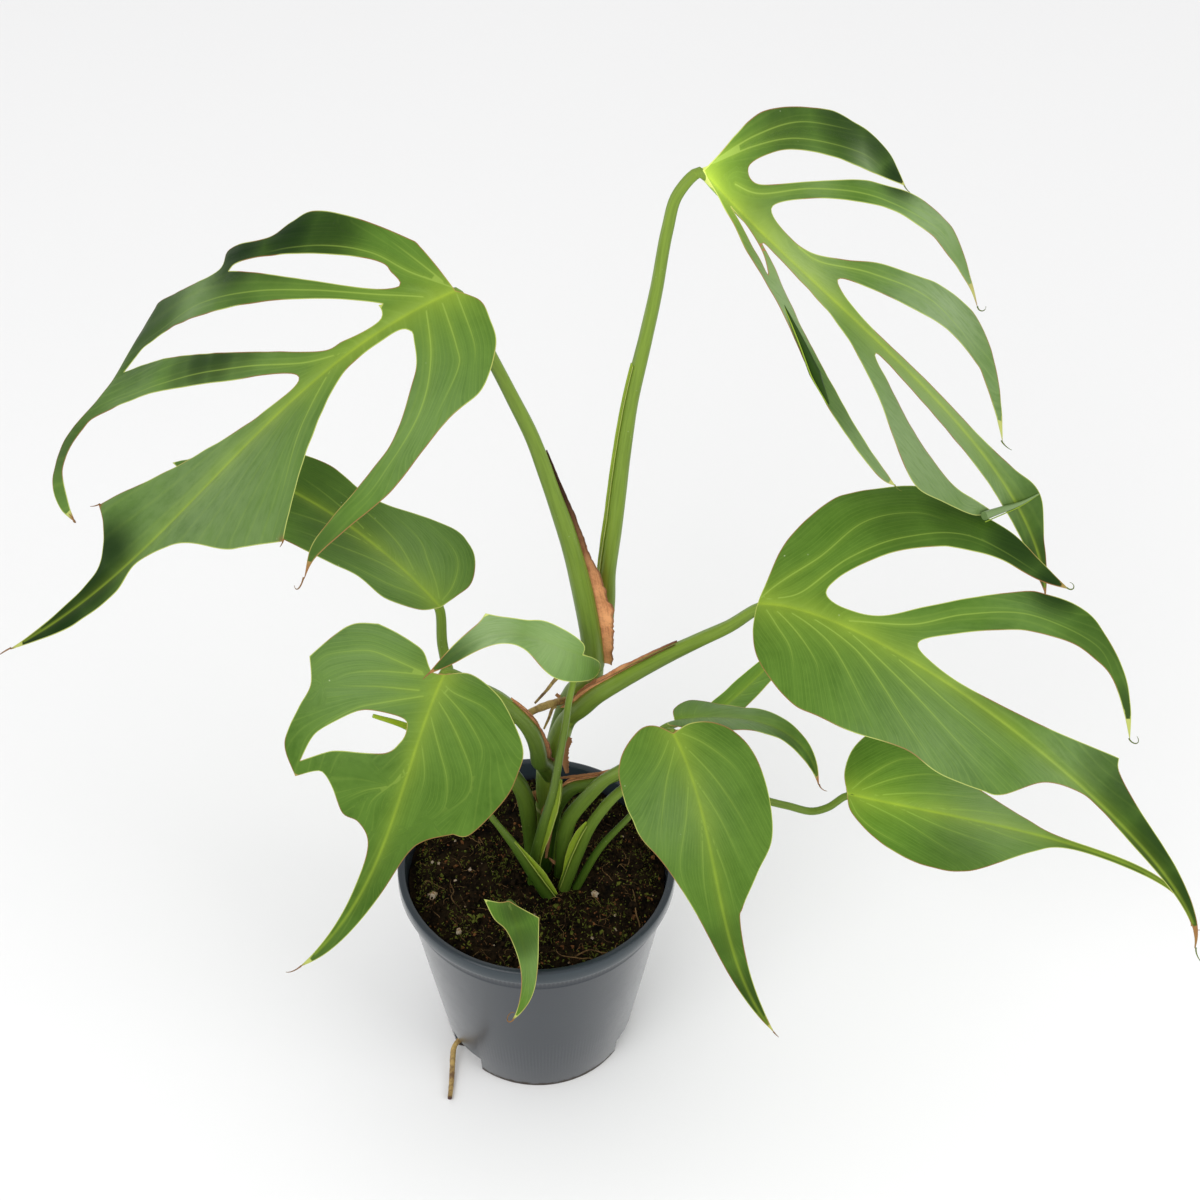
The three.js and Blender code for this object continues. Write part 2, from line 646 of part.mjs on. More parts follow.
// Each drain notch is an arched scoop through the foot of the wall.
const notch = new THREE.CylinderGeometry(
  FOOT_NOTCH_RADIUS,
  FOOT_NOTCH_RADIUS,
  FOOT_NOTCH_LENGTH,
  NOTCH_SIDES,
);
for (const degrees of FOOT_NOTCH_TURNS) {
  const turn = radians(degrees);
  const scoop = notch
    .clone()
    .rotateZ(Math.PI / 2 + turn)
    .translate(POT_FOOT_RADIUS * Math.cos(turn), POT_FOOT_RADIUS * Math.sin(turn), FOOT_NOTCH_CENTRE);
  pot = pot.subtract(solid(scoop));
}
add("pot", geometryOf(pot), potGrey());

const soilFloor = POT_FLOOR + GAP;
const soilReach = (height) => wallRadius(height) - POT_WALL - GAP;
const soilProfile = [
  [0, soilFloor],
  [soilReach(soilFloor), soilFloor],
  [soilReach(SOIL_TOP - SOIL_EDGE_DROP), SOIL_TOP - SOIL_EDGE_DROP],
  [SOIL_LEVEL_RADIUS, SOIL_TOP],
  [0, SOIL_TOP],
];
add("soil", latheSolid(soilProfile), soilBrown());

export default plant;
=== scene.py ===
"""A potted flame monstera: a young climber with split leaves in a 15 cm nursery pot.

Shape tables are in millimetres. The meshes are in metres, +Z up, with the origin in the middle of the
pot's flat underside.
"""

import math
from contextlib import contextmanager

import bpy
import numpy as np
from bpy.props import FloatProperty, FloatVectorProperty, IntProperty, PointerProperty
from mathutils import Matrix, Vector, noise
from mathutils.geometry import delaunay_2d_cdt


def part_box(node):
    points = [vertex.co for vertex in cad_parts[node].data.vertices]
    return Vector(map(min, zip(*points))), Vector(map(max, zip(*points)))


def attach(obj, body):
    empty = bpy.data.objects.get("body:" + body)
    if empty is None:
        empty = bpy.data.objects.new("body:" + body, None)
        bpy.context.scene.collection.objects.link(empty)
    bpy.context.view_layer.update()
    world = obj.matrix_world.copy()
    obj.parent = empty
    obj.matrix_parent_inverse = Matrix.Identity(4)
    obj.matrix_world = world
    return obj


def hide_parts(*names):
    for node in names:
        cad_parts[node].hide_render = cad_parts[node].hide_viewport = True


bl_info = {
    "name": "Potted flame monstera",
    "version": (1, 0, 0),
    "blender": (4, 5, 0),
    "location": "View3D > Sidebar > Monstera",
    "description": "Builds a potted flame monstera: pot, soil, stalks, sheaths, roots, blades and stage",
    "category": "Add Mesh",
}

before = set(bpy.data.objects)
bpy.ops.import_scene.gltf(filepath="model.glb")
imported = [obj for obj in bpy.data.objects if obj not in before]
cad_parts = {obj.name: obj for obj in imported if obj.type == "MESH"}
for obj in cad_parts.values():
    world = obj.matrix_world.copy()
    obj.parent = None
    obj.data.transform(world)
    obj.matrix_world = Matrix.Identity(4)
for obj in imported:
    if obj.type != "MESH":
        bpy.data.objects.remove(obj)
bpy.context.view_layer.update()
POT_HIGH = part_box("pot")[1]
SOIL_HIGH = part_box("soil")[1]

MM = 0.001
BODY = "root"
PHOTO_SIDE = 1200  # pixels along each side of the photograph

# Shapes of the blades
# A blade is drawn flat and then laid on a bent surface. Flat points are [along, across]: along the
# midrib from the joint with the stalk, and across it, plus to the right seen from above with the tip
# ahead.
# tone: how light the whole blade is
# outline: stretches, each smooth from its first point, a corner, to the first point of the next one
# holes: outlines of the holes
# midrib: a Bezier curve in space; side: the direction across the blade at the joint and at the tip
# fold: how far each half is raised beside the midrib, in degrees, and droop: how fast it then bends down,
# in degrees per 100 mm, each as [left, right] at the joint and at the tip
# back: the droop of the lobes behind the joint
# veins: the side veins that show, and veining: how strong they are
# tips: the dried ends, [along, across, heading, length, curl], with the heading in degrees to the right
# of the midrib and the curl in degrees, and withered: how brown they are
# darker, bloom, paler: spots of painted shade, of wax with a painted sheen and of painted light, [along,
# across, reach, share]
# glow: how strong the yellow-green along the midrib is
# rolls: margins that are rolled up, with what the material notes there and their lift, in radii
USUAL_BLADE = {
    "fold": [[8, 8], [5, 5]], "droop": [[20, 20], [10, 10]], "back": 20, "holes": [], "veins": [],
    "veining": 0.9, "withered": 0.9, "darker": [], "bloom": [], "paler": [], "glow": 1, "rolls": [],
}
BLADES = {}
BLADES["a"] = {
    "tone": 1.02,
    "midrib": [[-30, -5, 521], [-112, -29, 495], [-156, -49, 402], [-233, -70, 367]],
    "side": [[0, 0.87, 0.5], [0.1, 0.87, 0.4]],
    "droop": [[20, 25], [10, 15]],
    "outline": [
        [[0, 0], [6, 24], [10, 32], [36, 69], [49, 76], [62, 80], [82, 98], [93, 95], [131, 126], [139, 126],
         [162, 114], [177, 103], [204, 94], [215, 78], [219, 65], [218, 52]],
        [[213, 40], [213, 54], [211, 72], [204, 84], [196, 90], [186, 91], [164, 80], [145, 66], [110, 35],
         [78, 7], [102, 6], [135, 15], [185, 35]],
        [[198, 39], [199, 28], [203, 18], [213, 8], [240, 3]],
        [[265, 0], [247, -5], [225, -9], [206, -9], [190, -4], [165, -16], [145, -39], [135, -47]],
        [[118, -59], [96, -35], [76, -18], [62, -9], [52, -6], [31, -5], [25, -8], [25, -13], [31, -28],
         [51, -49], [69, -58], [95, -66], [108, -71]],
        [[118, -81], [107, -76], [74, -73], [58, -69], [27, -55], [6, -48], [-7, -32], [-9, -19], [-8, -9]],
    ],
    "holes": [
        [[[86, 86], [75, 80], [28, 33], [21, 20], [21, 13], [35, 22], [60, 51]]],
        [
            [[164, 104], [155, 106], [144, 104], [119, 90], [38, 17], [32, 10], [35, 4], [52, 6], [72, 16],
             [137, 82]],
        ],
    ],
    "veins": [
        [[0, 1], [14, 16], [25, 34], [42, 53], [66, 74]], [[3, 5], [9, 18], [16, 34]],
        [[13, 3], [33, 17], [55, 38], [80, 63], [114, 94], [151, 111]],
        [[54, 1], [74, 11], [100, 34], [132, 61], [169, 87], [186, 94]],
        [[14, 0], [22, -26], [38, -47], [68, -64], [85, -68]], [[7, 0], [9, -25], [13, -36], [32, -52]],
        [[0, -1], [1, -26], [5, -37]], [[63, -1], [88, -17], [111, -40]],
    ],
    "tips": [[265, 0, 0, 10, -60], [118, -81, -45, 12, 120], [213, 40, -113, 8, 200], [198, 39, 17, 4, 90],
             [118, -59, -40, 3, 40]],
    "darker": [[38, 56, 19, 0.8], [52, 71, 21, 0.95], [74, 90, 24, 0.97], [142, 122, 30, 0.7],
               [84, 69, 14, 0.35], [128, 63, 12, 0.5], [118, 56, 13, 0.8], [108, 48, 13, 0.8],
               [97, 40, 12, 0.5], [203, 12, 18, 0.9], [217, 6, 22, 1], [236, 0, 22, 1], [257, 0, 24, 1],
               [205, 88, 24, 0.4], [111, -76, 20, 0.45]],
    "bloom": [[140, -6, 60, 0.45], [130, -45, 34, 0.4], [180, 60, 30, 0.5], [110, 95, 20, 0.4],
              [40, -50, 40, 0.3]],
    "paler": [[40, -50, 40, 0.06]],
}
BLADES["b"] = {
    "tone": 1.0,
    "midrib": [[75, 30, 559], [127, 43, 482], [238, 37, 402], [253, 25, 315]],
    "side": [[-0.5, -0.7, 0.1], [-0.7, -0.5, -0.35]],
    "droop": [[25, 20], [15, 10]],
    "outline": [
        [[0, 0], [12, -36], [26, -54], [49, -72], [60, -78], [80, -82], [93, -79]],
        [[104, -70], [67, -57], [42, -43], [28, -29], [22, -18], [31, -16], [56, -36], [81, -56], [92, -62],
         [111, -70], [128, -71], [140, -67]],
        [[164, -47], [152, -53], [133, -58], [124, -59], [103, -55], [83, -45], [62, -31], [43, -13],
         [53, -8], [71, -9], [90, -18], [108, -29], [130, -38], [141, -42], [162, -44], [178, -39],
         [192, -30]],
        [[216, -11], [187, -24], [178, -27], [156, -28], [133, -23], [109, -16], [92, -8], [115, -3],
         [160, -3], [202, -4], [230, -8], [251, -13], [276, -5]],
        [[307, 0], [285, 5], [251, 7], [220, 7], [181, 7], [130, 5.5], [144, 13], [168, 20], [196, 23],
         [212, 22], [225, 18]],
        [[240, 13], [231, 23], [210, 32], [190, 38], [170, 34], [144, 23], [119, 13], [94, 7], [70, 5],
         [46, 4.5], [57, 10], [90, 26], [137, 40]],
        [[178, 46], [166, 49], [138, 47], [107, 41], [67, 24], [42, 16], [27, 9]],
    ],
    "holes": [[[[22, 2.6], [32, 6.3], [43, 11.2], [55, 15.5], [47, 8.4], [36, 4.3]]]],
    "rolls": [
        {"line": [[69, 21.5], [85, 29.5], [100, 37], [116, 42.5]], "radii": [0.3, 1.5, 2.6, 0.6],
         "looks": {"shade": 0.8}},
        {"line": [[234, 20], [240, 11], [247, 0], [251, -12]], "radii": [2.2, 1.7, 1.0, 0.3],
         "looks": {"bloom": 0.8}, "lift": 1.4},
    ],
    "veins": [
        [[-1, -1], [20, -28], [43, -50], [76, -68], [92, -70]], [[3, -8], [18, -32], [40, -57], [70, -76]],
        [[19, -7], [34, -13], [60, -35], [91, -54], [126, -64], [140, -61]],
        [[63, -7], [79, -9], [106, -22], [140, -33], [178, -31]],
    ],
    "tips": [[104, -70, 39, 4, 40], [164, -47, 40, 6, 180], [216, -11, 8, 6, 60], [307, 0, 0, 4, 60],
             [178, 46, 10, 4, 60]],
    "withered": 0.25,
    "darker": [[33, -53, 20, 0.45], [62, -76, 22, 0.75], [84, -80, 14, 0.8], [99, -71, 11, 0.95],
               [118, 42, 20, 0.3], [285, 0, 22, 0.7], [255, -6, 16, 0.4]],
    "bloom": [[80, -67, 9, 0.9], [125, -66, 24, 0.85], [150, -35, 34, 0.9], [60, -40, 14, 0.3],
              [175, 20, 60, 0.8], [70, 14, 30, 0.95], [230, 18, 24, 0.7], [215, -14, 22, 0.5]],
    "glow": 1.2,
    "paler": [[2, 0, 24, 0.8], [60, 0, 40, 0.12], [115, -62, 30, 0.15]],
}
BLADES["c"] = {
    "tone": 1.05,
    "midrib": [[106, -25, 356], [160, -41, 378], [321, -96, 259], [325, -105, 204]],
    "side": [[-0.2, -0.87, -0.3], [-0.8, -0.4, -0.4]],
    "droop": [[25, 20], [15, 10]],
    "outline": [
        [[0, 0], [3, -10], [8, -33], [19, -59], [27, -68], [44, -82], [55, -85], [90, -85], [108, -79]],
        [[126, -74], [112, -69], [93, -68], [75, -62], [67, -58], [52, -46], [40, -32], [32, -20], [30, -11],
         [40, -8], [56, -12], [72, -26], [90, -43], [109, -60], [118, -65], [131, -69], [144, -68],
         [164, -57], [176, -46]],
        [[186, -32], [164, -49], [150, -52], [137, -51], [120, -44], [109, -37], [90, -22], [77, -9],
         [89, -4], [112, -4], [151, -11]],
        [[187, -22], [192, -17], [212, -11], [250, -6]],
        [[296, 0], [228, 3], [197, 2], [182, 3], [164, 11], [149, 29], [138, 34], [115, 40], [94, 40],
         [65, 47], [48, 48], [35, 48], [21, 42], [7, 30], [1, 16]],
    ],
    "veins": [
        [[2, -3], [21, -26], [34, -53], [52, -69], [67, -73]],
        [[4, -2], [19, -8], [34, -33], [52, -54], [77, -71], [112, -72]],
        [[44, -3], [70, -15], [90, -33], [116, -51], [148, -58], [164, -50]],
        [[4, 2], [13, 12], [22, 21], [28, 32]], [[11, 4], [25, 14], [36, 23], [41, 30]],
        [[17, 3], [31, 8], [43, 14], [62, 29], [72, 36]], [[29, 3], [45, 7], [58, 12], [87, 28], [113, 39]],
        [[45, 2], [74, 11], [111, 21], [138, 25]], [[63, 1], [104, 9], [152, 12]],
    ],
    "tips": [[126, -74, 10, 7, 230], [186, -32, 20, 9, 200], [296, 0, 0, 12, 90]],
    "withered": 0.25,
    "darker": [[48, -60, 18, 0.4], [70, -80, 24, 0.6], [98, -80, 20, 0.9], [120, -71, 16, 0.95],
               [149, -61, 22, 0.45], [178, -40, 18, 0.7], [120, -14, 20, 0.3], [184, -13, 14, 0.45],
               [202, -12, 20, 0.65], [230, -5, 24, 0.85], [262, -1, 26, 0.85], [50, -66, 26, 0.35]],
    "bloom": [[110, -55, 20, 0.15], [100, 26, 40, 0.28], [170, 0, 26, 0.3]],
}
BLADES["d"] = {
    "tone": 0.96,
    "midrib": [[-40, -45, 327], [-63, -68, 282], [-68, -88, 216], [-113, -110, 186]],
    "side": [[-0.9, 0.3, 0.3], [-0.9, 0.3, 0.3]],
    "outline": [
        [[0, 0], [1, 6], [-6, 13], [-8, 19], [-9, 28]],
        [[-9, 38], [-4, 48], [5, 55]],
        [[17, 62], [28, 57], [40, 59], [53, 61], [63, 60]],
        [[76, 51], [69, 42], [69, 38], [75, 32], [86, 24], [88, 15], [98, 7], [125, 4]],
        [[174, 0], [158, -4], [125, -8], [96, -12], [84, -18]],
        [[75, -30], [72, -38], [49, -48], [33, -50], [18, -48], [1, -34], [-5, -22], [-6, -10]],
    ],
    "holes": [
        [
            [[67, 51], [54, 49], [46, 45], [33, 33], [29, 24], [28, 10], [33, 7], [40, 8], [48, 14], [54, 34],
             [59, 42]],
        ],
    ],
    "veins": [
        [[14, 5], [24, 22], [31, 33], [42, 43], [53, 49], [64, 49]], [[4, 9], [10, 27], [16, 40], [22, 47]],
        [[3, 10], [3, 24], [4, 36], [9, 47], [14, 55], [21, 59]], [[12, 8], [17, 25], [21, 36], [24, 45]],
        [[49, 1], [61, 5], [73, 12], [82, 13]], [[51, -1], [62, 5], [70, 17], [78, 25]],
        [[4, -1], [6, -8], [6, -24], [12, -36]], [[7, 0], [11, -10], [17, -20], [27, -30], [38, -32]],
        [[11, 1], [19, -10], [29, -20], [41, -29], [51, -31], [59, -28], [67, -22]],
        [[21, -1], [36, -11], [49, -19], [63, -22], [72, -18]], [[35, -1], [51, -8], [65, -9]],
    ],
    "tips": [[174, 0, 0, 10, -60]],
    "darker": [[120, -2, 30, 0.25], [165, -1, 24, 0.35]],
    "bloom": [[16, 34, 34, 0.3]],
    "paler": [[12, 34, 34, 0.12]],
    "veining": 0.62,
}
BLADES["e"] = {
    "tone": 1.02,
    "midrib": [[-45, 10, 317], [-80, 37, 344], [-128, 64, 359], [-174, 85, 346]],
    "side": [[0.62, 0.75, 0.1], [0.5, 0.8, 0.2]],
    "outline": [
        [[0, 0], [-1, 10], [-1, 20], [6, 30], [14, 34], [23, 34], [43, 25], [56, 20], [69, 19], [87, 22],
         [105, 20], [135, 11]],
        [[165, -4], [148, -13], [120, -22], [94, -27], [79, -27], [57, -24], [39, -20], [22, -19], [6, -10]],
    ],
    "veins": [
        [[2, 3], [4, 12], [10, 22], [18, 26], [28, 26]], [[3, 2], [11, 7], [21, 12], [31, 17], [48, 18]],
        [[17, 1], [36, 8], [60, 11], [84, 12]], [[42, 1], [66, 5], [96, 9]],
        [[5, -2], [14, -6], [26, -12], [43, -17], [56, -20]], [[14, -1], [36, -6], [60, -14], [84, -20]],
        [[42, -1], [66, -6], [98, -14]],
    ],
    "tips": [],
    "darker": [[98, 8, 32, 0.5], [66, -2, 26, 0.45]],
    "bloom": [[30, 4, 34, 0.35], [50, -10, 30, 0.25]],
    "glow": 0.9,
    "veining": 0.6,
}
BLADES["f"] = {
    "tone": 1.25,
    "midrib": [[25, -10, 305], [-1, -26, 332], [-11, -29, 357], [-47, -55, 337]],
    "side": [[0.3, 0.7, 0.5], [0, 0.7, 0.7]],
    "fold": [[5, 15], [5, 5]],
    "droop": [[60, 20], [20, 10]],
    "back": 60,
    "outline": [
        [[0, 0], [3, 5], [15, 8], [34, 9], [46, 7], [58, 8]],
        [[65, 11], [70, 7], [85, 3]],
        [[100, 0], [85, -4], [57, -5], [43, -7], [23, -14], [10, -15], [-6, -12], [-14, -8], [-15, -2],
         [-8, 0]],
    ],
    "tips": [[100, 0, 0, 3, 20]],
    "darker": [[92, -1, 18, 0.7]],
    "bloom": [[25, 0, 30, 0.8], [62, 0, 22, 0.9]],
    "glow": 0.08,
    "paler": [[14, 0, 26, 0.3]],
}
BLADES["g"] = {
    "tone": 0.98,
    "midrib": [[68, -60, 304], [93, -81, 259], [89, -102, 186], [122, -120, 149]],
    "side": [[-0.9, 0, 0.3], [-0.9, 0, 0.2]],
    "outline": [
        [[0, 0], [-8, 6], [-10, 14], [-4, 26], [6, 32], [25, 34], [36, 33], [49, 31], [70, 22], [102, 12],
         [140, 5]],
        [[176, 0], [157, -3], [110, -7], [100, -10], [81, -21], [66, -30], [45, -33], [24, -32], [11, -27],
         [3, -19], [-1, -9]],
    ],
    "tips": [[176, 0, 0, 3, 30]],
    "veins": [
        [[1, 3], [10, 12], [18, 22]], [[6, 2], [21, 12], [42, 20], [56, 23]],
        [[22, 1], [44, 8], [70, 16], [88, 14]], [[48, 1], [80, 6], [108, 7]],
        [[1, -3], [10, -11], [24, -20], [34, -23]], [[8, -2], [30, -11], [52, -18], [66, -22]],
        [[26, -1], [50, -8], [78, -14]], [[52, -1], [80, -5], [104, -6]],
    ],
    "darker": [[155, 0, 26, 0.75], [118, -3, 16, 0.3], [120, 6, 14, 0.4]],
    "bloom": [[40, 14, 26, 0.25]],
    "glow": 0.85,
    "veining": 0.6,
}
BLADES["h"] = {
    "tone": 1.22,
    "midrib": [[69, -38, 290], [100, -41, 301], [132, -43, 295], [140, -45, 258]],
    "side": [[-0.1, -0.9, 0.4], [-0.8, -0.5, -0.1]],
    "droop": [[30, 20], [10, 10]],
    "outline": [
        [[0, 0], [-2, -10], [2, -16], [8, -17], [23, -10], [33, -8], [43, -8], [66, -4]],
        [[98, 0], [75, 4], [52, 6], [35, 11], [26, 17], [15, 19], [5, 13], [-2, 6]],
    ],
    "tips": [[98, 0, 0, 5, 120]],
    "darker": [[88, 1, 14, 0.6], [60, 8, 12, 0.4]],
    "bloom": [[34, 2, 22, 0.5]],
    "glow": 0.35,
}
BLADES["i"] = {
    "tone": 1.1,
    "midrib": [[158, -30, 228], [201, -41, 224], [320, -69, 236], [332, -75, 184]],
    "side": [[0.1, -0.9, -0.3], [-0.3, -0.9, -0.4]],
    "outline": [
        [[0, 0], [-4, -10], [-3, -23], [3, -33], [12, -35], [23, -33], [45, -24], [69, -14], [88, -7],
         [109, -2], [157, -1.6]],
        [[198, 0], [150, 2], [112, 3], [95, 10], [74, 24], [62, 29], [50, 30], [35, 28], [18, 21], [4, 10]],
    ],
    "veins": [
        [[2, 3], [8, 11], [18, 17], [36, 23]], [[7, 2], [28, 8], [50, 17], [62, 22]],
        [[24, 1], [52, 8], [84, 12]], [[58, 1], [86, 5], [104, 5]], [[2, -3], [9, -12], [22, -23], [36, -26]],
        [[6, -3], [20, -12], [36, -18], [52, -19]], [[13, -2], [36, -8], [67, -12]],
        [[40, -1], [66, -5], [86, -6]],
    ],
    "tips": [[198, 0, 0, 6, 100]],
    "darker": [[128, 1, 22, 0.5], [165, 0, 30, 0.75], [60, 24, 20, 0.25]],
    "bloom": [[75, -8, 30, 0.6]],
    "glow": 1,
    "paler": [[20, 2, 24, 0.34]],
    "veining": 0.6,
}
BLADES["j"] = {
    "tone": 1.5,
    "midrib": [[84, -12, 260], [107, 5, 262], [124, 24, 282], [150, 40, 277]],
    "side": [[0.7, -0.5, 0.4], [0.7, -0.5, 0.4]],
    "outline": [
        [[0, 0], [-4, 5], [0, 11], [14, 14], [30, 13], [50, 10], [70, 5]],
        [[87, 0], [70, -4], [43, -7], [21, -8], [5, -8], [-3, -4]],
    ],
    "tips": [[87, 0, 0, 2, 40]],
    "glow": 0.6,
}
BLADES["k"] = {
    "tone": 1.08,
    "midrib": [[-12, -62, 179], [-6, -75, 164], [6, -87, 142], [-10, -100, 129]],
    "side": [[-0.9, 0, 0.2], [-0.9, 0, 0.2]],
    "outline": [
        [[0, 0], [-1, 5]],
        [[-5, 12], [6, 10], [14, 6], [30, 4], [51, 3]],
        [[66, 0], [52, -3], [38, -5], [25, -8]],
        [[13, -12]],
    ],
    "tips": [[66, 0, 0, 12, -280]],
    "darker": [[6, -1, 9, 0.65], [22, 0, 10, 0.6], [14, 9, 9, 0.4]],
    "bloom": [[36, -6, 14, 0.3]],
    "glow": 0.06,
}
BLADES = {key: {**USUAL_BLADE, **blade} for key, blade in BLADES.items()}

# Stalks: a smooth line through points, with radii at even steps along it. A root is the place on the
# soil where the stalk comes up, and a blade the one that it carries.
STALKS = {
    "petiole_a": {
        "blade": "a",
        "points": [[30, 11.5, 276], [28, 9, 303], [24, 8, 332], [18, 6, 366], [10, 4, 400], [2, 1, 433],
                   [-8, -2, 463], [-15, -4, 483], [-22, -5, 503]],
        "radii": [5.4, 5.2, 4, 3.2, 2.6],
    },
    "petiole_b": {
        "blade": "b",
        "points": [[34.4, 18.4, 285], [36, 22, 311], [36, 22, 332], [39, 22, 365], [42, 23, 402],
                   [46, 24, 438], [52, 25, 474], [56, 26, 499], [60, 27, 530], [64, 28, 548]],
        "radii": [4, 4.6, 3.8, 3, 2.4],
    },
    "petiole_c": {
        "blade": "c",
        "points": [[12, 9, 224], [14.5, 10, 231], [17.5, 9.4, 239.5], [24, 4, 253], [30, 0, 265],
                   [38, -5, 278], [53, -10, 296], [67, -14, 311], [81, -18, 325], [94, -22, 338]],
        "radii": [4.6, 5, 4.8, 4.1, 3.4, 2.6],
    },
    "petiole_d": {
        "blade": "d",
        "points": [[8, 6.5, 199], [4.5, 1.1, 213], [2.5, -5, 222], [2, -10, 236], [-1, -18, 259],
                   [-8, -27, 282], [-16, -34, 300], [-26, -40, 314]],
        "radii": [5, 4.4, 4.4, 3.8, 3.1, 2.4],
    },
    "petiole_e": {
        "blade": "e",
        "root": [-4, 5],
        "points": [[-3.5, 3, 155], [-6, -2.5, 193], [-17, -6, 223], [-30, -4, 251], [-41, 3, 273],
                   [-45, 8, 292]],
        "radii": [2.6, 4.6, 4.2, 2.8, 2.4],
    },
    "petiole_f": {
        "blade": "f",
        "root": [-2, -6],
        "points": [[-0.5, -9.5, 150], [5, -15.5, 186], [10, -16.5, 212], [13, -16, 236], [16, -15.5, 259],
                   [18, -14.5, 277], [20, -13, 288]],
        "radii": [2.9, 2.7, 2, 1.7],
    },
    "petiole_g": {
        "blade": "g",
        "root": [12, -1],
        "points": [[14.5, -7, 158], [18, -14, 187], [28, -22, 215], [36, -30, 236], [46, -40, 257],
                   [57, -50, 281]],
        "radii": [2.8, 4.3, 3.6, 2.8, 2.4],
    },
    "petiole_h": {
        "blade": "h",
        "root": [3.5, 2],
        "points": [[7, -0.5, 163], [11, -3, 185], [20, -7, 204], [32, -14, 216.5], [46, -24, 236],
                   [58, -32, 262], [64, -35, 280]],
        "radii": [4.2, 4.4, 3.6, 2.4, 1.8],
    },
    "petiole_i": {
        "blade": "i",
        "root": [15, -10],
        "points": [[23, -13, 161], [31, -18, 191], [45, -25, 223], [63, -34, 245], [83, -38, 248],
                   [103, -36, 236], [118, -34, 226], [129, -33, 221], [141, -32, 216], [149, -31, 218]],
        "radii": [3.5, 3, 2.4, 2, 1.9],
    },
    "petiole_j": {
        "blade": "j",
        "root": [22, -9],
        "points": [[34, -11, 160], [50, -14, 191], [64, -15, 219], [76, -14, 245]],
        "radii": [2.4, 1.5, 1.3],
    },
    "petiole_k": {
        "blade": "k",
        "root": [-4, -49],
        "points": [[-3, -52, 140], [-5, -56, 158]],
        "radii": [2.2, 1.6, 1.3],
    },
    "spear": {
        "root": [6, -14],
        "points": [[-3, -19, 153], [-10, -24, 176], [-22, -31, 209], [-36, -38, 244], [-49, -42, 274],
                   [-59, -44, 289], [-75, -46, 299]],
        "radii": [4.4, 3.0, 1.7, 1.6, 2.6, 1.0],
    },
    "stem": {
        "root": [6, 12],
        "points": [[6, 12.5, 150], [6.5, 11.5, 177], [7, 9, 203], [11, 8.5, 220], [16, 10, 236],
                   [19.5, 8, 243]],
        "radii": [5.6, 6.2, 6.8, 6.8, 6.2, 5.6, 4.4],
    },
    "stem_upper": {
        "points": [[8.5, 10, 208], [11, 15.5, 220], [14, 19.5, 232], [19, 18.5, 248], [26, 14, 262],
                   [29.6, 11.8, 269], [30, 11.5, 275]],
        "radii": [4.6, 4.2, 4.8, 4.9],
    },
}

# Roots and sheaths, by the node of the frame that each stands for

ROOTS = {
    "aerial_root_thick": {
        "points": [[17.5, 13, 247], [15.8, 13.2, 247.8], [5.3, 7, 250.2], [-4.7, 3, 247.6],
                   [-14.9, 1, 239.9]],
        "radii": [1.9, 2, 1.7, 1.1],
    },
    "aerial_root_thin": {
        "points": [[11, 9.2, 247.8], [9.2, 8.2, 247.2], [7.5, 5.5, 243.5], [4.8, 2, 238.4]],
        "radii": [0.9, 0.8, 0.5],
    },
    "aerial_root_pale": {
        "points": [[27, 11, 274], [24.8, 10.2, 273.8], [13, 6, 273.4], [6.1, 3, 265.5], [0.5, 2, 257.7]],
        "radii": [1.2, 1, 0.6],
    },
    "drain_root": {
        "points": [[-40, -22.4, 8.6], [-44.5, -27, 8.3], [-47.3, -31, 7.2], [-48, -36.5, 5.2],
                   [-48, -43, 3.6], [-48.1, -52, 2.1], [-48.5, -62, 1.8]],
        "radii": [1.5, 1.6, 1.5, 1.3],
    },
}

# A sheath stands along a stalk: reach is where it begins and ends, as parts of the stalk's length, away
# the side that it stands on, widths its height there and age how dark it is. Two wings lie spread
# degrees apart.
SHEATHS = {
    "sheath_a": {"stalk": "petiole_a", "reach": [0.0, 0.58], "away": [0.9, 0.3, 0.2],
                 "widths": [4, 8.5, 8.5, 5, 3, 2, 1], "spread": 20, "dry": 1,
                 "age": [0, 0, 0.15, 0.75, 1, 1]},
    "sheath_b": {"stalk": "petiole_b", "reach": [0.06, 0.61], "away": [-0.9, -0.3, 0],
                 "widths": [0.6, 1.1, 1.3, 1.3, 1.2, 1.1, 0.9], "spread": 30, "dry": 0},
    "sheath_c": {"stalk": "petiole_c", "reach": [0.13, 0.66], "away": [-0.3, 0.2, 0.9],
                 "widths": [4, 4, 2.6, 2.2, 1.6, 1], "spread": 36, "dry": 1, "age": [0, 0, 0.2, 0.5, 0.9]},
    "sheath_d": {"stalk": "petiole_d", "reach": [0.05, 0.66], "away": [0.6, 0.2, 0.8],
                 "widths": [3, 3, 2.6, 2.4, 2, 1], "spread": 30, "dry": 1, "age": [0.9, 0.5, 0.15, 0.3, 0.2]},
    "sheath_f": {"stalk": "petiole_f", "reach": [0.03, 0.52], "away": [1, -0.2, 0],
                 "widths": [1, 1.5, 2.4, 3.6, 4.2, 1.5], "spread": 30, "dry": 0},
    "sheath_h": {"stalk": "petiole_h", "reach": [0.2, 0.62], "away": [-0.2, 0.3, 0.9],
                 "widths": [2, 2.4, 2.4, 2, 1.2], "spread": 36, "dry": 1, "age": [0, 0, 0.1, 0.3]},
    "sheath_i": {"stalk": "petiole_i", "reach": [0.02, 0.27], "away": [-0.6, -0.3, 0.6],
                 "widths": [0.3, 0.8, 2.6, 3.4, 3, 1], "spread": 34, "dry": 0},
    "sheath_spear": {"stalk": "spear", "reach": [0.01, 0.32], "away": [0.95, -0.35, 0.1],
                     "widths": [1.5, 2.5, 3, 2.4, 1.2, 0.3], "spread": 14, "dry": 0},
}


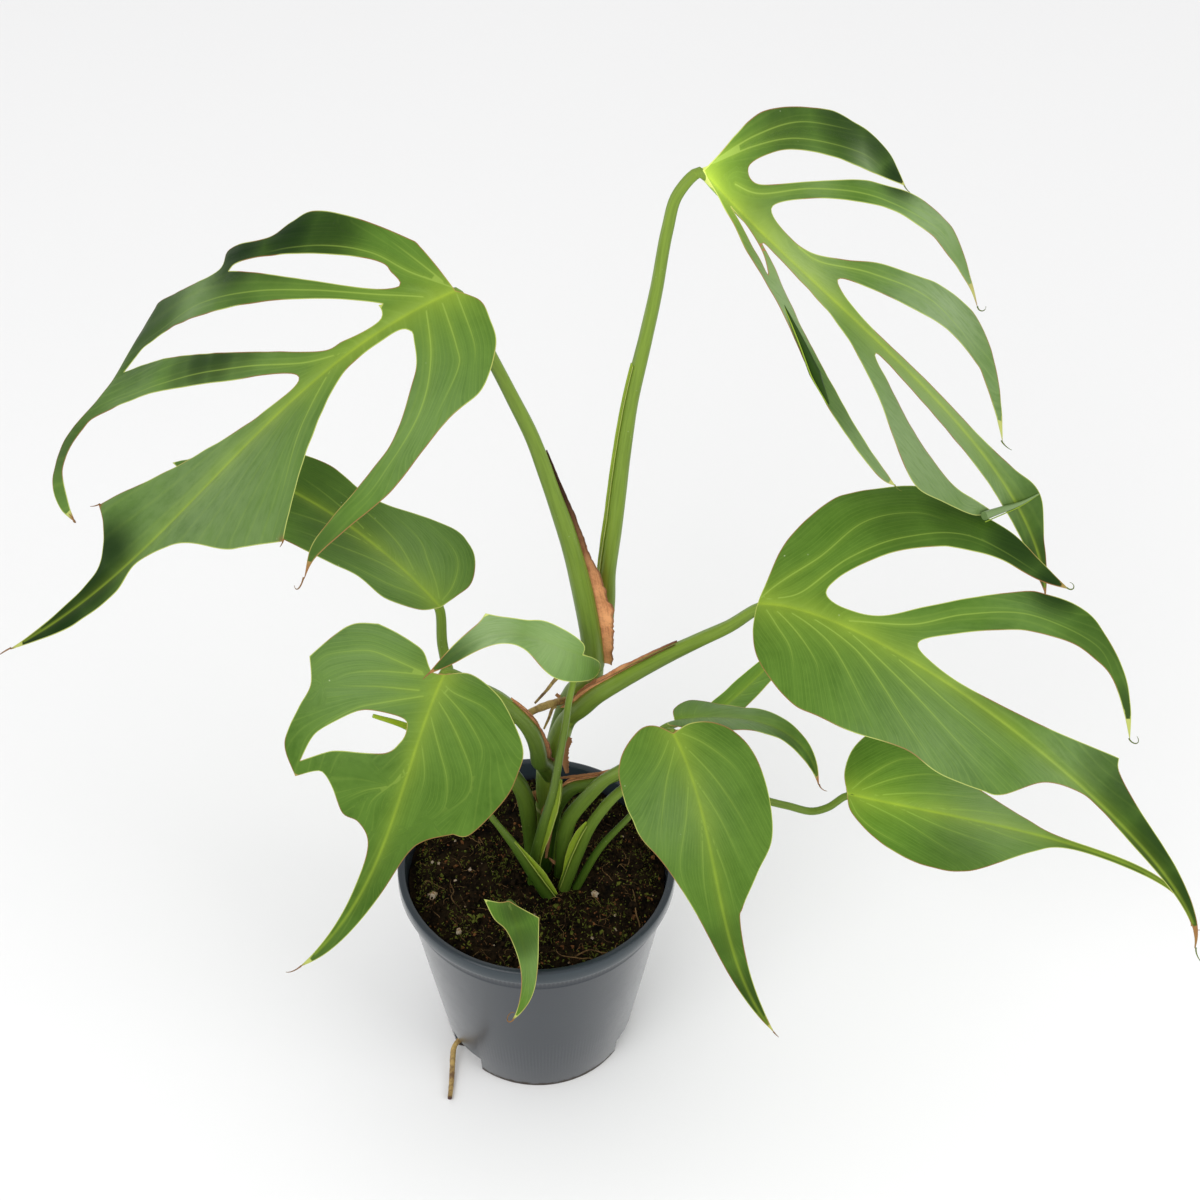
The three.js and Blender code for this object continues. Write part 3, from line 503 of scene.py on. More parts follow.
# Sizes and colours that a user would change

def length(name, description, value):
    """A length in metres, shown in the scene's units."""
    return FloatProperty(name=name, description=description, default=value, min=0, unit="LENGTH")


def colour(name, description, value):
    """A linear colour."""
    return FloatVectorProperty(
        name=name, description=description, default=value, min=0, max=1, size=3, subtype="COLOR")


def share(name, description, value, high=1.0):
    """A plain number from 0."""
    return FloatProperty(name=name, description=description, default=value, min=0, max=high)


class PotSizes(bpy.types.PropertyGroup):
    """The plastic nursery pot"""
    rim_radius: length("Rim radius", "Outer radius of the rim", POT_HIGH.x)
    height: length("Height", "From the foot to the top of the rim", POT_HIGH.z)
    foot_radius: length("Foot radius", "Outer radius at the foot", 52 * MM)
    band_height: length("Band height", "Height of the band below the rim", 9 * MM)
    band_step: length("Band step", "How far the band stands out from the wall", 3 * MM)
    rim_width: length("Rim width", "Width of the rim's flat top", 4 * MM)
    wall: length("Wall", "Thickness of the wall", 1.8 * MM)
    ring_height: length("Ring height", "Height of the faint stacking ring", 116 * MM)
    recess_radius: length("Recess radius", "Radius of each recess in the foot", 15 * MM)
    recess_out: length("Recess place", "From the pot's axis to a recess's axis", 61 * MM)
    recess_height: length("Recess height", "Height of each recess", 14 * MM)
    slate: colour("Slate", "The pot's plastic", (0.017, 0.0225, 0.03))
    worn_slate: colour("Worn slate", "The plastic where it has been handled", (0.026, 0.031, 0.038))
    # Painted sheen: the band below the rim is drawn in this lighter, tealer slate; round each recess it is
    # blended in as painted shade
    sheen_and_shade_slate: colour("Rim slate", "The rim's plastic", (0.025, 0.036, 0.044))
    # Painted shade: the rim's flat top is drawn in this darker slate
    lip_shade_slate: colour("Lip slate", "The flat top of the rim", (0.018, 0.025, 0.032))
    grime: colour("Grime", "Soil that has dried on the foot", (0.03, 0.02, 0.012))


class BladeLooks(bpy.types.PropertyGroup):
    """Relief and colours of the leaf blades"""
    spacing: length("Mesh spacing", "Between neighbouring points of a blade's mesh", 1.6 * MM)
    thickness: length("Thickness", "Thickness of a blade between its veins", 0.4 * MM)
    quilting: length("Quilting", "How far the blade rises between its side veins", 0.45 * MM)
    trough: length("Trough", "Depth of the groove over the midrib", 0.5 * MM)
    waves: length("Waves", "Height of the margin's waves", 1.1 * MM)
    # Painted shade: the green that the blade's shaded spots are drawn in
    shade: colour("Darkest green", "The blade's deepest spots", (0.003, 0.016, 0.001))
    deep: colour("Deep green", "The blade's darker green", (0.045, 0.108, 0.008))
    green: colour("Green", "The blade's lighter green", (0.088, 0.175, 0.02))
    # Painted sheen: the greyer green that the spots of wax are drawn in
    bloom: colour("Bloom", "Where the blade is waxy", (0.17, 0.25, 0.1))
    glow: colour("Glow", "The yellow-green along the midrib", (0.3, 0.41, 0.035))
    vein: colour("Vein", "The side veins", (0.24, 0.35, 0.055))
    under: colour("Underside", "The blade's underside", (0.15, 0.27, 0.06))
    margin: colour("Margin", "The pale edge", (0.46, 0.5, 0.13))
    rusty: colour("Rusty margin", "The edge where it has dried", (0.3, 0.13, 0.05))
    dry: colour("Dried tip", "The curled dry ends", (0.07, 0.04, 0.02))


class StalkLooks(bpy.types.PropertyGroup):
    """Colours of the stalks, sheaths and roots"""
    # Partly painted shade: the stalks are drawn darker green low down among the leaves
    green: colour("Stalk green", "Stalks low down", (0.022, 0.058, 0.004))
    pale: colour("Pale green", "Stalks high up", (0.19, 0.285, 0.034))
    young: colour("Young sheath", "The wings of the youngest stalks", (0.28, 0.38, 0.02))
    papery: colour("Papery sheath", "Sheaths that have dried", (0.95, 0.46, 0.21))
    leathery: colour("Leathery sheath", "Sheaths that are drying", (0.56, 0.22, 0.095))
    umber: colour("Umber", "The dark edge of a dried sheath", (0.06, 0.025, 0.015))
    bleached: colour("Bleached", "Torn sheath fibres", (0.97, 0.77, 0.6))
    ochre: colour("Root", "The roots' bark", (0.45, 0.31, 0.1))
    bark: colour("Root shade", "The roots' darker patches", (0.13, 0.07, 0.03))


class SoilLooks(bpy.types.PropertyGroup):
    """The potting mix"""
    crumbs: IntProperty(name="Crumbs", description="Crumbs of the mix", default=1500, min=0)
    flecks: IntProperty(name="Flecks", description="Bits of bark and moss", default=2000, min=0)
    fibres: IntProperty(name="Fibres", description="Coir fibres", default=260, min=0)
    moss: IntProperty(name="Moss", description="Blades of moss", default=4600, min=0)
    perlite: IntProperty(name="Perlite", description="White grains", default=34, min=0)
    unevenness: length("Unevenness", "How far the surface rises and falls", 1.3 * MM)
    peat: colour("Peat", "The dark mix", (0.002, 0.0016, 0.0011))
    coir: colour("Coir", "The browner crumbs and fibres", (0.018, 0.011, 0.005))
    bark: colour("Bark", "Bits of bark", (0.17, 0.07, 0.025))
    straw: colour("Straw", "The palest fibres", (0.2, 0.12, 0.05))
    moss_green: colour("Moss", "The moss on the mix", (0.03, 0.042, 0.008))
    moss_pale: colour("Pale moss", "The moss's tips", (0.13, 0.14, 0.022))
    grain: colour("Grain", "The perlite", (0.4, 0.34, 0.26))


class StageLooks(bpy.types.PropertyGroup):
    """Camera, floor and light"""
    target_x: length("Target X", "The point that the camera looks at", 32.7 * MM)
    target_z: length("Target Z", "The height of that point", 332.8 * MM)
    distance: length("Distance", "From the camera to its target", 1150 * MM)
    pitch: share("Pitch", "Degrees that the camera looks down", 44.47, 90)
    roll: share("Roll", "Degrees that the camera is turned", 0.58, 90)
    focal_pixels: share("Focal length", "In pixels of the photograph", 2391, 1e5)
    floor: colour("Floor", "The pale floor", (0.8, 0.8, 0.802))
    sky: share("Sky", "Strength of the even light", 0.95, 10)
    window: share("Window", "Power of the large soft window, in watts", 22, 1000)
    fill: share("Fill", "Power of the soft fill, in watts", 12, 1000)


# Tools

def clear_selection():
    """Goes to object mode with nothing selected."""
    if bpy.context.object and bpy.context.object.mode != "OBJECT":
        bpy.ops.object.mode_set(mode="OBJECT")
    bpy.ops.object.select_all(action="DESELECT")


def only(piece):
    """Selects one piece and makes it the active one."""
    clear_selection()
    piece.select_set(True)
    bpy.context.view_layer.objects.active = piece


def added(name):
    """The object that an operator has just added, named."""
    piece = bpy.context.object
    piece.name = name
    piece.data.name = name
    return piece


def apply_modifier(piece, kind, **settings):
    """Adds a modifier with its settings and applies it."""
    only(piece)
    modifier = piece.modifiers.new(kind.title(), kind)
    for key, value in settings.items():
        setattr(modifier, key, value)
    bpy.ops.object.modifier_apply(modifier=modifier.name)


@contextmanager
def editing(piece, action="SELECT"):
    """Edit mode on one piece, with all of its mesh selected or none of it."""
    only(piece)
    bpy.ops.object.mode_set(mode="EDIT")
    bpy.ops.mesh.select_all(action=action)
    yield
    bpy.ops.object.mode_set(mode="OBJECT")


def mend(piece, gap=1e-6):
    """Merges doubled points and turns all faces outwards."""
    with editing(piece):
        bpy.ops.mesh.remove_doubles(threshold=gap)
        bpy.ops.mesh.normals_make_consistent(inside=False)


def smooth(piece, degrees=40):
    """Smooth shading, with edges sharper than an angle kept."""
    only(piece)
    bpy.ops.object.shade_smooth_by_angle(angle=math.radians(degrees))


def settle(piece, slot, *nodes):
    """Gives a finished piece its body and hides the frame's nodes that it stands for. The slot is not used.
    """
    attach(piece, BODY)
    if nodes:
        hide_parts(*nodes)


def places_of(piece):
    """The vertices of a piece, in mm."""
    places = np.empty(len(piece.data.vertices) * 3)
    piece.data.vertices.foreach_get("co", places)
    return places.reshape(-1, 3) / MM


def move_to(piece, places):
    """Puts the vertices of a piece at places in mm."""
    piece.data.vertices.foreach_set("co", (places * MM).ravel())
    piece.data.update()


def note(piece, name, values, kind="FLOAT"):
    """Stores a number or a vector for every vertex, which the materials read."""
    attribute = piece.data.attributes.new(name, kind, "POINT")
    key = "vector" if kind == "FLOAT_VECTOR" else "value"
    attribute.data.foreach_set(key, np.asarray(values, np.float32).ravel())


def mesh_piece(name, places, faces, finish):
    """A new piece from places in mm and faces."""
    mesh = bpy.data.meshes.new(name)
    mesh.from_pydata((np.asarray(places) * MM).tolist(), [], faces)
    mesh.materials.append(finish)
    piece = bpy.data.objects.new(name, mesh)
    bpy.context.scene.collection.objects.link(piece)
    return piece


def unit(vectors):
    """Vectors of length 1."""
    vectors = np.asarray(vectors, float)
    return vectors / np.maximum(np.linalg.norm(vectors, axis=-1, keepdims=True), 1e-12)


def square_to(vectors, ahead):
    """The parts of vectors that stand square to the directions ahead, of length 1."""
    vectors = np.broadcast_to(vectors, ahead.shape)
    return unit(vectors - np.sum(vectors * ahead, axis=-1, keepdims=True) * ahead)


def ripple(places, size, seed=0.0):
    """Smooth noise from -1 to 1 at each place, with bumps of a size."""
    shift = Vector((seed, 2.3 * seed, 1.7 * seed))
    return np.array([noise.noise(Vector(place) / size + shift) for place in places.tolist()])


# Lines

def runs(line):
    """The length along a line at each of its points."""
    return np.concatenate([[0], np.cumsum(np.linalg.norm(np.diff(line, axis=0), axis=1))])


def at_runs(wanted, run, field):
    """Vectors that are given at each run along a line, at other runs."""
    return np.column_stack([np.interp(wanted, run, column) for column in field.T])


def even_steps(line, spacing):
    """Points along a line at an even spacing, both ends included."""
    run = runs(line)
    count = max(1, round(run[-1] / spacing))
    return at_runs(np.linspace(0, run[-1], count + 1), run, line)


def cubic_span(start, end, leaving, arriving, t):
    """Points of a cubic from start to end that leaves and arrives at given speeds."""
    cubic = 2 * start - 2 * end + leaving + arriving
    square = 3 * end - 3 * start - 2 * leaving - arriving
    return cubic * t**3 + square * t**2 + leaving * t + start


def smooth_line(points, steps=12):
    """An even Catmull-Rom curve through points, with the end points repeated."""
    points = np.array([points[0], *points, points[-1]], float)
    t = np.linspace(0, 1, steps, endpoint=False)[:, None]
    spans = []
    for before, start, end, after in zip(points, points[1:], points[2:], points[3:]):
        leaving = (end - before) / 2
        arriving = (after - start) / 2
        spans.append(cubic_span(start, end, leaving, arriving, t))
    return np.concatenate([*spans, points[-1:]])


def stalk_line(points, spacing, steps=16):
    """A centripetal Catmull-Rom curve through points, at an even spacing."""
    points = np.array(points, float)
    points = np.concatenate([[2 * points[0] - points[1]], points, [2 * points[-1] - points[-2]]])
    t = np.linspace(0, 1, steps, endpoint=False)[:, None]
    spans = []
    for before, start, end, after in zip(points, points[1:], points[2:], points[3:]):
        a, b, c = (math.sqrt(np.linalg.norm(q - p)) for p, q in
                   ((before, start), (start, end), (end, after)))
        leaving = ((start - before) / a - (end - before) / (a + b) + (end - start) / b) * b
        arriving = ((end - start) / b - (after - start) / (b + c) + (after - end) / c) * b
        spans.append(cubic_span(start, end, leaving, arriving, t))
    return even_steps(np.concatenate([*spans, points[-2:-1]]), spacing)


def between(values, part):
    """The value at a part, from 0 to 1, of the way along a list of evenly spaced ones."""
    return np.interp(part, np.linspace(0, 1, len(values)), values)


def loft(line, radii, sides, out=(0.3, 0.2, 0.9)):
    """The places and faces of a closed tube along a line, with a point at each end."""
    ahead = unit(np.gradient(line, axis=0))
    up = square_to(np.array(out), ahead)
    right = np.cross(ahead, up)
    turns = np.arange(sides) * 2 * math.pi / sides
    spokes = np.cos(turns)[None, :, None] * up[:, None] + np.sin(turns)[None, :, None] * right[:, None]
    rings = line[:, None] + spokes * np.asarray(radii)[:, None, None]
    places = np.concatenate([rings.reshape(-1, 3), line[:1], line[-1:]])
    faces = []
    for ring in range(len(line) - 1):
        for side in range(sides):
            a, b = ring * sides + side, ring * sides + (side + 1) % sides
            faces.append((a, b, b + sides, a + sides))
    first, last = len(places) - 2, len(places) - 1
    top = (len(line) - 1) * sides
    for side in range(sides):
        following = (side + 1) % sides
        faces.append((first, following, side))
        faces.append((last, top + side, top + following))
    return places, faces


def join_parts(parts):
    """Several lots of places and faces as one."""
    places, faces, count = [], [], 0
    for part_places, part_faces in parts:
        places.append(part_places)
        faces += [tuple(index + count for index in face) for face in part_faces]
        count += len(part_places)
    return np.concatenate(places), faces


# Materials

class Finish:
    """Adds shader nodes to a tree. An input takes a number, a colour or another node's output."""

    def __init__(self, tree):
        self.tree = tree

    def node(self, kind, settings=None, inputs=None):
        made = self.tree.nodes.new(f"ShaderNode{kind}")
        for key, value in (settings or {}).items():
            setattr(made, key, value)
        for key, value in (inputs or {}).items():
            self.feed(made.inputs[key], value)
        return made

    def feed(self, socket, value):
        if isinstance(value, bpy.types.NodeSocket):
            self.tree.links.new(value, socket)
        elif socket.type == "RGBA":
            socket.default_value = (*value[:3], 1)
        else:
            socket.default_value = value

    def read(self, name, output="Fac"):
        return self.node("Attribute", {"attribute_name": name}).outputs[output]

    def place(self):
        return self.node("TexCoord").outputs["Object"]

    def stretched(self, vector, scale):
        return self.node("Mapping", inputs={"Vector": vector, "Scale": scale}).outputs[0]

    def noise(self, vector, scale, detail=3.0, roughness=0.55):
        inputs = {"Vector": vector, "Scale": scale, "Detail": detail, "Roughness": roughness}
        return self.node("TexNoise", inputs=inputs).outputs["Fac"]

    def cells(self, vector, scale):
        return self.node("TexVoronoi", inputs={"Vector": vector, "Scale": scale}).outputs["Distance"]

    def sum(self, operation, a, b=0.0):
        return self.node("Math", {"operation": operation}, {0: a, 1: b}).outputs[0]

    def times(self, a, b):
        return self.sum("MULTIPLY", a, b)

    def plus(self, a, b):
        return self.sum("ADD", a, b)

    def rest(self, part):
        """What is left of 1."""
        return self.sum("SUBTRACT", 1.0, part)

    def fade(self, value, low, high, bottom=0.0, top=1.0):
        """A smooth step of value from low to high."""
        inputs = {"Value": value, "From Min": low, "From Max": high, "To Min": bottom, "To Max": top}
        return self.node("MapRange", {"interpolation_type": "SMOOTHSTEP"}, inputs).outputs[0]

    def blend(self, factor, a, b):
        return self.node("MixRGB", inputs={"Fac": factor, "Color1": a, "Color2": b}).outputs[0]

    def bump(self, height, distance, strength=1.0):
        inputs = {"Height": height, "Distance": distance, "Strength": strength}
        return self.node("Bump", inputs=inputs).outputs[0]

    def group(self, name, **inputs):
        made = self.tree.nodes.new("ShaderNodeGroup")
        made.node_tree = bpy.data.node_groups[name]
        for key, value in inputs.items():
            self.feed(made.inputs[key], value)
        return made.outputs


def new_group(name, inputs, outputs):
    """An empty node group with named sockets, and its input and output nodes."""
    tree = bpy.data.node_groups.new(name, "ShaderNodeTree")
    for socket, (kind, value) in inputs.items():
        made = tree.interface.new_socket(socket, in_out="INPUT", socket_type=f"NodeSocket{kind}")
        if value is not None:
            made.default_value = value
    for socket, kind in outputs.items():
        tree.interface.new_socket(socket, in_out="OUTPUT", socket_type=f"NodeSocket{kind}")
    return Finish(tree), tree.nodes.new("NodeGroupInput").outputs, tree.nodes.new("NodeGroupOutput").inputs


def mottle_group():
    """Soft patches of two colours, broken up by a finer noise."""
    finish, given, result = new_group(
        "Mottle",
        {"Vector": ("Vector", None), "Scale": ("Float", 40.0), "Contrast": ("Float", 0.2),
         "First": ("Color", None), "Second": ("Color", None)},
        {"Colour": "Color", "Mask": "Float"})
    coarse = finish.noise(given["Vector"], given["Scale"], 2.0)
    finer = finish.times(given["Scale"], 7.0)
    fine = finish.noise(given["Vector"], finer, 3.0)
    both = finish.plus(finish.times(coarse, 0.7), finish.times(fine, 0.3))
    low = finish.sum("SUBTRACT", 0.5, given["Contrast"])
    high = finish.plus(0.5, given["Contrast"])
    mask = finish.fade(both, low, high)
    finish.feed(result["Mask"], mask)
    finish.feed(result["Colour"], finish.blend(mask, given["First"], given["Second"]))


def streaks_group():
    """Long streaks along a stalk's own straight frame, as a mask and a height."""
    finish, given, result = new_group(
        "Streaks",
        {"Vector": ("Vector", None), "Width": ("Float", 0.6), "Length": ("Float", 14.0)},
        {"Mask": "Float", "Height": "Float"})
    across = finish.sum("DIVIDE", 1.0, given["Width"])
    along = finish.sum("DIVIDE", 1.0, given["Length"])
    scale = finish.node("CombineXYZ", inputs={"X": across, "Y": across, "Z": along}).outputs[0]
    drawn = finish.node("VectorMath", {"operation": "MULTIPLY"}, {0: given["Vector"], 1: scale}).outputs[0]
    fine = finish.noise(drawn, 1.0, 3.0, 0.6)
    broad = finish.noise(drawn, 0.27, 2.0, 0.5)
    finish.feed(result["Mask"], finish.fade(broad, 0.3, 0.7))
    finish.feed(result["Height"], fine)


def specks_group():
    """Tiny scattered spots, as a mask."""
    finish, given, result = new_group(
        "Specks",
        {"Vector": ("Vector", None), "Scale": ("Float", 120.0), "Size": ("Float", 0.07),
         "Amount": ("Float", 0.5)},
        {"Mask": "Float"})
    distance = finish.cells(given["Vector"], given["Scale"])
    spot = finish.rest(finish.fade(distance, finish.times(given["Size"], 0.5), given["Size"]))
    patch = finish.noise(given["Vector"], finish.times(given["Scale"], 0.21), 1.0)
    low = finish.rest(given["Amount"])
    there = finish.fade(patch, low, finish.plus(low, 0.05))
    finish.feed(result["Mask"], finish.times(spot, there))


def new_material(name):
    """A material with an empty tree but for its output, and its finish."""
    material = bpy.data.materials.new(name)
    material.use_nodes = True
    material.node_tree.nodes.clear()
    return material, Finish(material.node_tree)


def surface(finish, base, roughness, normal=None, coat=None, **constants):
    """The shader at the end of a material. Constants are set on its own sockets."""
    inputs = {"Base Color": base, "Roughness": roughness}
    if normal is not None:
        inputs["Normal"] = normal
    if coat is not None:
        inputs["Coat Weight"] = coat
    shader = finish.node("BsdfPrincipled", inputs=inputs)
    for key, value in constants.items():
        shader.inputs[key.replace("_", " ")].default_value = value
    output = finish.node("OutputMaterial")
    finish.tree.links.new(shader.outputs[0], output.inputs["Surface"])


# Colours that only show in specks and thin edges
BLADE_SPECK = (0.5, 0.55, 0.35)
STALK_SPECK = (0.4, 0.46, 0.24)
LEAF_SCAR = (0.42, 0.42, 0.2)
YOUNG_EDGE = (0.42, 0.46, 0.13)
SCUFF = (0.2, 0.21, 0.22)


def blade_finish():
    """Green with a yellow-green glow along the midrib, pale veins, a fine margin, spots of wax with a painted
    sheen, spots of painted shade and dry tips.
    """
    looks = bpy.context.scene.monstera_blades
    material, finish = new_material("leaf_blade")
    place = finish.place()
    vein = finish.read("vein_distance")
    edge = finish.read("edge_distance")
    glow = finish.read("glow")
    strand = finish.read("strand", "Vector")
    under = finish.read("under")
    dry = finish.read("dry")
    shade = finish.read("shade")
    bloom = finish.read("bloom")
    patches = finish.group("Mottle", Vector=place, Scale=38.0, Contrast=0.26, First=looks.deep,
                           Second=looks.green)
    fibres = finish.noise(finish.stretched(strand, (2.4, 0.09, 1)), 1.0, 3.0, 0.65)
    streaks = finish.noise(finish.stretched(strand, (0.55, 0.02, 1)), 1.0, 2.0, 0.5)
    base = finish.blend(finish.fade(vein, 0.8, 7.0, 0.5, 0.0), patches["Colour"], looks.green)
    base = finish.blend(finish.fade(streaks, 0.42, 0.62, 0.0, 0.35), base, looks.deep)
    base = finish.blend(finish.fade(fibres, 0.38, 0.68, 0.0, 0.4), base, looks.green)
    # Painted sheen: the spots of wax are blended towards a greyer green; the same share raises the coat's
    # gloss
    wax_and_sheen = finish.times(bloom, finish.fade(fibres, 0.25, 0.6, 0.65, 1.0))
    base = finish.blend(wax_and_sheen, base, looks.bloom)
    # Painted shade: the darker spots are blended towards the darkest green, and lit keeps the gloss and the
    # threads out of them
    base = finish.blend(finish.times(shade, finish.fade(streaks, 0.3, 0.7, 1.0, 0.92)), base, looks.shade)
    lit = finish.rest(shade)
    base = finish.blend(glow, base, looks.glow)
    line = finish.rest(finish.fade(vein, 0.1, 0.5))
    weak = finish.times(line, finish.read("vein_strength"))
    base = finish.blend(weak, base, looks.vein)
    fine = finish.node("SeparateXYZ", inputs={0: strand}).outputs["X"]
    nearest = finish.sum("ABSOLUTE", finish.sum("SUBTRACT", finish.sum("FRACT", fine), 0.5))
    threads = finish.rest(finish.fade(nearest, 0.0, 0.14))
    base = finish.blend(finish.times(finish.times(threads, lit), 0.11), base, looks.vein)
    base = finish.blend(under, base, finish.blend(finish.times(glow, 0.6), looks.under, looks.glow))
    specks = finish.group("Specks", Vector=place, Scale=90.0, Size=0.045, Amount=0.42)
    base = finish.blend(finish.times(specks["Mask"], 0.5), base, BLADE_SPECK)
    rim = finish.rest(finish.fade(edge, 0.1, 0.55))
    rust = finish.fade(finish.noise(place, 22.0, 2.0), 0.46, 0.56)
    base = finish.blend(finish.times(rim, 0.8), base, finish.blend(rust, looks.margin, looks.rusty))
    base = finish.blend(dry, base, finish.blend(finish.noise(place, 400.0), looks.dry, looks.rusty))
    toned = finish.node("VectorMath", {"operation": "SCALE"},
                        {0: base, "Scale": finish.read("tone")}).outputs[0]
    grain = finish.noise(place, 1400.0, 2.0)
    relief = finish.plus(finish.times(fibres, 0.7), finish.times(grain, 0.3))
    roughness = finish.plus(finish.fade(patches["Mask"], 0.0, 1.0, 0.4, 0.5),
                            finish.times(finish.sum("MAXIMUM", under, dry), 0.2))
    coat = finish.times(lit, finish.plus(0.08, finish.times(wax_and_sheen, 0.6)))
    surface(finish, toned, roughness, finish.bump(relief, 0.2 * MM, 0.8), coat, Specular_IOR_Level=0.07,
            Coat_Roughness=0.38)
    return material


def stalk_finish():
    """Smooth fleshy green with fine length-wise streaks, paler towards the blade; the darker green low down
    is partly painted shade.
    """
    looks = bpy.context.scene.monstera_stalks
    material, finish = new_material("stalk")
    straight = finish.read("straight", "Vector")
    streaks = finish.group("Streaks", Vector=straight, Width=0.9, Length=22.0)
    paleness = finish.read("paleness")
    base = finish.blend(paleness, looks.green, looks.pale)
    base = finish.blend(finish.times(streaks["Mask"], finish.fade(paleness, 0.1, 0.7, 0.07, 0.32)),
                        base, looks.pale)
    base = finish.blend(finish.fade(streaks["Height"], 0.35, 0.7, 0.0, 0.25), base, looks.green)
    base = finish.blend(finish.read("young"), base, looks.young)
    base = finish.blend(finish.times(finish.read("scar"), 0.7), base, LEAF_SCAR)
    specks = finish.group("Specks", Vector=straight, Scale=0.35, Size=0.16, Amount=0.45)
    base = finish.blend(finish.times(specks["Mask"], 0.25), base, STALK_SPECK)
    surface(finish, base, finish.fade(streaks["Height"], 0.2, 0.8, 0.34, 0.5),
            finish.bump(streaks["Height"], 0.1 * MM, 0.5), Specular_IOR_Level=0.2)
    return material


def sheath_finish(dried):
    """A thin wing: yellow-green with a pale edge when young, papery brown when dried."""
    looks = bpy.context.scene.monstera_stalks
    material, finish = new_material("dry_sheath" if dried else "young_sheath")
    straight = finish.read("straight", "Vector")
    rise = finish.read("rise")
    streaks = finish.group("Streaks", Vector=straight, Width=0.5, Length=16.0)
    if dried:
        patch = finish.group("Mottle", Vector=straight, Scale=0.16, Contrast=0.16, First=looks.leathery,
                             Second=looks.papery)
        base = finish.blend(finish.fade(streaks["Height"], 0.4, 0.65, 0.0, 0.6), patch["Colour"],
                            looks.papery)
        base = finish.blend(finish.read("age"), base, looks.umber)
        base = finish.blend(finish.fade(rise, 0.75, 1.0, 0.0, 0.7), base, looks.umber)
        base = finish.blend(finish.read("bleach"), base, looks.bleached)
        surface(finish, base, 0.75, finish.bump(streaks["Height"], 0.12 * MM), Specular_IOR_Level=0.2)
    else:
        base = finish.blend(finish.fade(streaks["Height"], 0.35, 0.7), looks.young, looks.pale)
        base = finish.blend(finish.fade(rise, 0.88, 0.98, 0.0, 0.6), base, YOUNG_EDGE)
        surface(finish, base, 0.45, finish.bump(streaks["Height"], 0.12 * MM, 0.6), Specular_IOR_Level=0.3)
    return material


def root_finish():
    """Ochre bark with darker rings and patches."""
    looks = bpy.context.scene.monstera_stalks
    material, finish = new_material("root_bark")
    straight = finish.read("straight", "Vector")
    streaks = finish.group("Streaks", Vector=straight, Width=0.5, Length=5.0)
    rings = finish.noise(finish.stretched(straight, (0.2, 0.2, 1.1)), 1.0, 3.0)
    patch = finish.group("Mottle", Vector=straight, Scale=0.12, Contrast=0.12, First=looks.ochre,
                         Second=looks.bark)
    base = finish.blend(finish.fade(rings, 0.55, 0.7, 0.0, 0.5), patch["Colour"], looks.bark)
    base = finish.blend(finish.read("age"), base, looks.umber)
    height = finish.plus(streaks["Height"], rings)
    surface(finish, base, 0.62, finish.bump(height, 0.25 * MM), Specular_IOR_Level=0.4)
    return material


def pot_finish():
    """Slate plastic, moulded with a fine grain, scuffed, with soil dried on its foot, a painted sheen on the
    band below the rim and painted shade on the rim's top and round each recess.
    """
    sizes = bpy.context.scene.monstera_pot
    material, finish = new_material("pot_plastic")
    place = finish.place()
    height = finish.node("SeparateXYZ", inputs={0: place}).outputs["Z"]
    # Painted sheen: the band below the rim is drawn lighter and tealer than the wall
    rim = finish.fade(height, sizes.height - sizes.band_height - 1.5 * MM, sizes.height - sizes.band_height)
    patch = finish.group("Mottle", Vector=place, Scale=26.0, Contrast=0.3, First=sizes.slate,
                         Second=sizes.worn_slate)
    base = finish.blend(rim, patch["Colour"], sizes.sheen_and_shade_slate)
    # Painted shade: the rim's flat top is drawn darker
    lip = finish.fade(height, sizes.height - 1.5 * MM, sizes.height - 0.5 * MM)
    base = finish.blend(lip, base, sizes.lip_shade_slate)
    scuffs = finish.noise(finish.stretched(place, (1, 1, 5)), 130.0, 4.0, 0.7)
    base = finish.blend(finish.fade(scuffs, 0.66, 0.8, 0.0, 0.25), base, SCUFF)
    ragged = finish.times(finish.noise(place, 240.0, 4.0, 0.7), 7 * MM)
    low = finish.rest(finish.fade(finish.sum("SUBTRACT", height, ragged), -1.2 * MM, 0.9 * MM))
    # Painted shade round each recess's mouth: the wall there is blended towards the band's teal slate
    for _, x, y in recess_places(sizes):
        ends = {0: place, 1: (x, y, 0)}
        mouth = finish.node("VectorMath", {"operation": "DISTANCE"}, ends).outputs["Value"]
        recess_shade = finish.fade(mouth, sizes.recess_radius, 1.75 * sizes.recess_radius, 0.55, 0.0)
        base = finish.blend(recess_shade, base, sizes.sheen_and_shade_slate)
    base = finish.blend(low, base, sizes.grime)
    grit = finish.group("Specks", Vector=place, Scale=420.0, Size=0.3, Amount=0.6)
    near_foot = finish.fade(height, 1 * MM, 5 * MM, 0.8, 0.0)
    base = finish.blend(finish.times(grit["Mask"], near_foot), base, sizes.grime)
    grain = finish.noise(place, 2600.0, 2.0)
    roughness = finish.fade(patch["Mask"], 0.0, 1.0, 0.28, 0.36)
    roughness = finish.plus(roughness, finish.times(low, 0.4))
    facing = finish.node("LayerWeight", inputs={"Blend": 0.5}).outputs["Facing"]
    sheen = finish.times(finish.fade(facing, 0.4, 0.95, 0.05, 0.85), finish.rest(finish.times(low, 0.8)))
    surface(finish, base, roughness, finish.bump(grain, 0.05 * MM, 0.5), sheen, Specular_IOR_Level=0.3,
            Coat_Roughness=0.2)
    return material


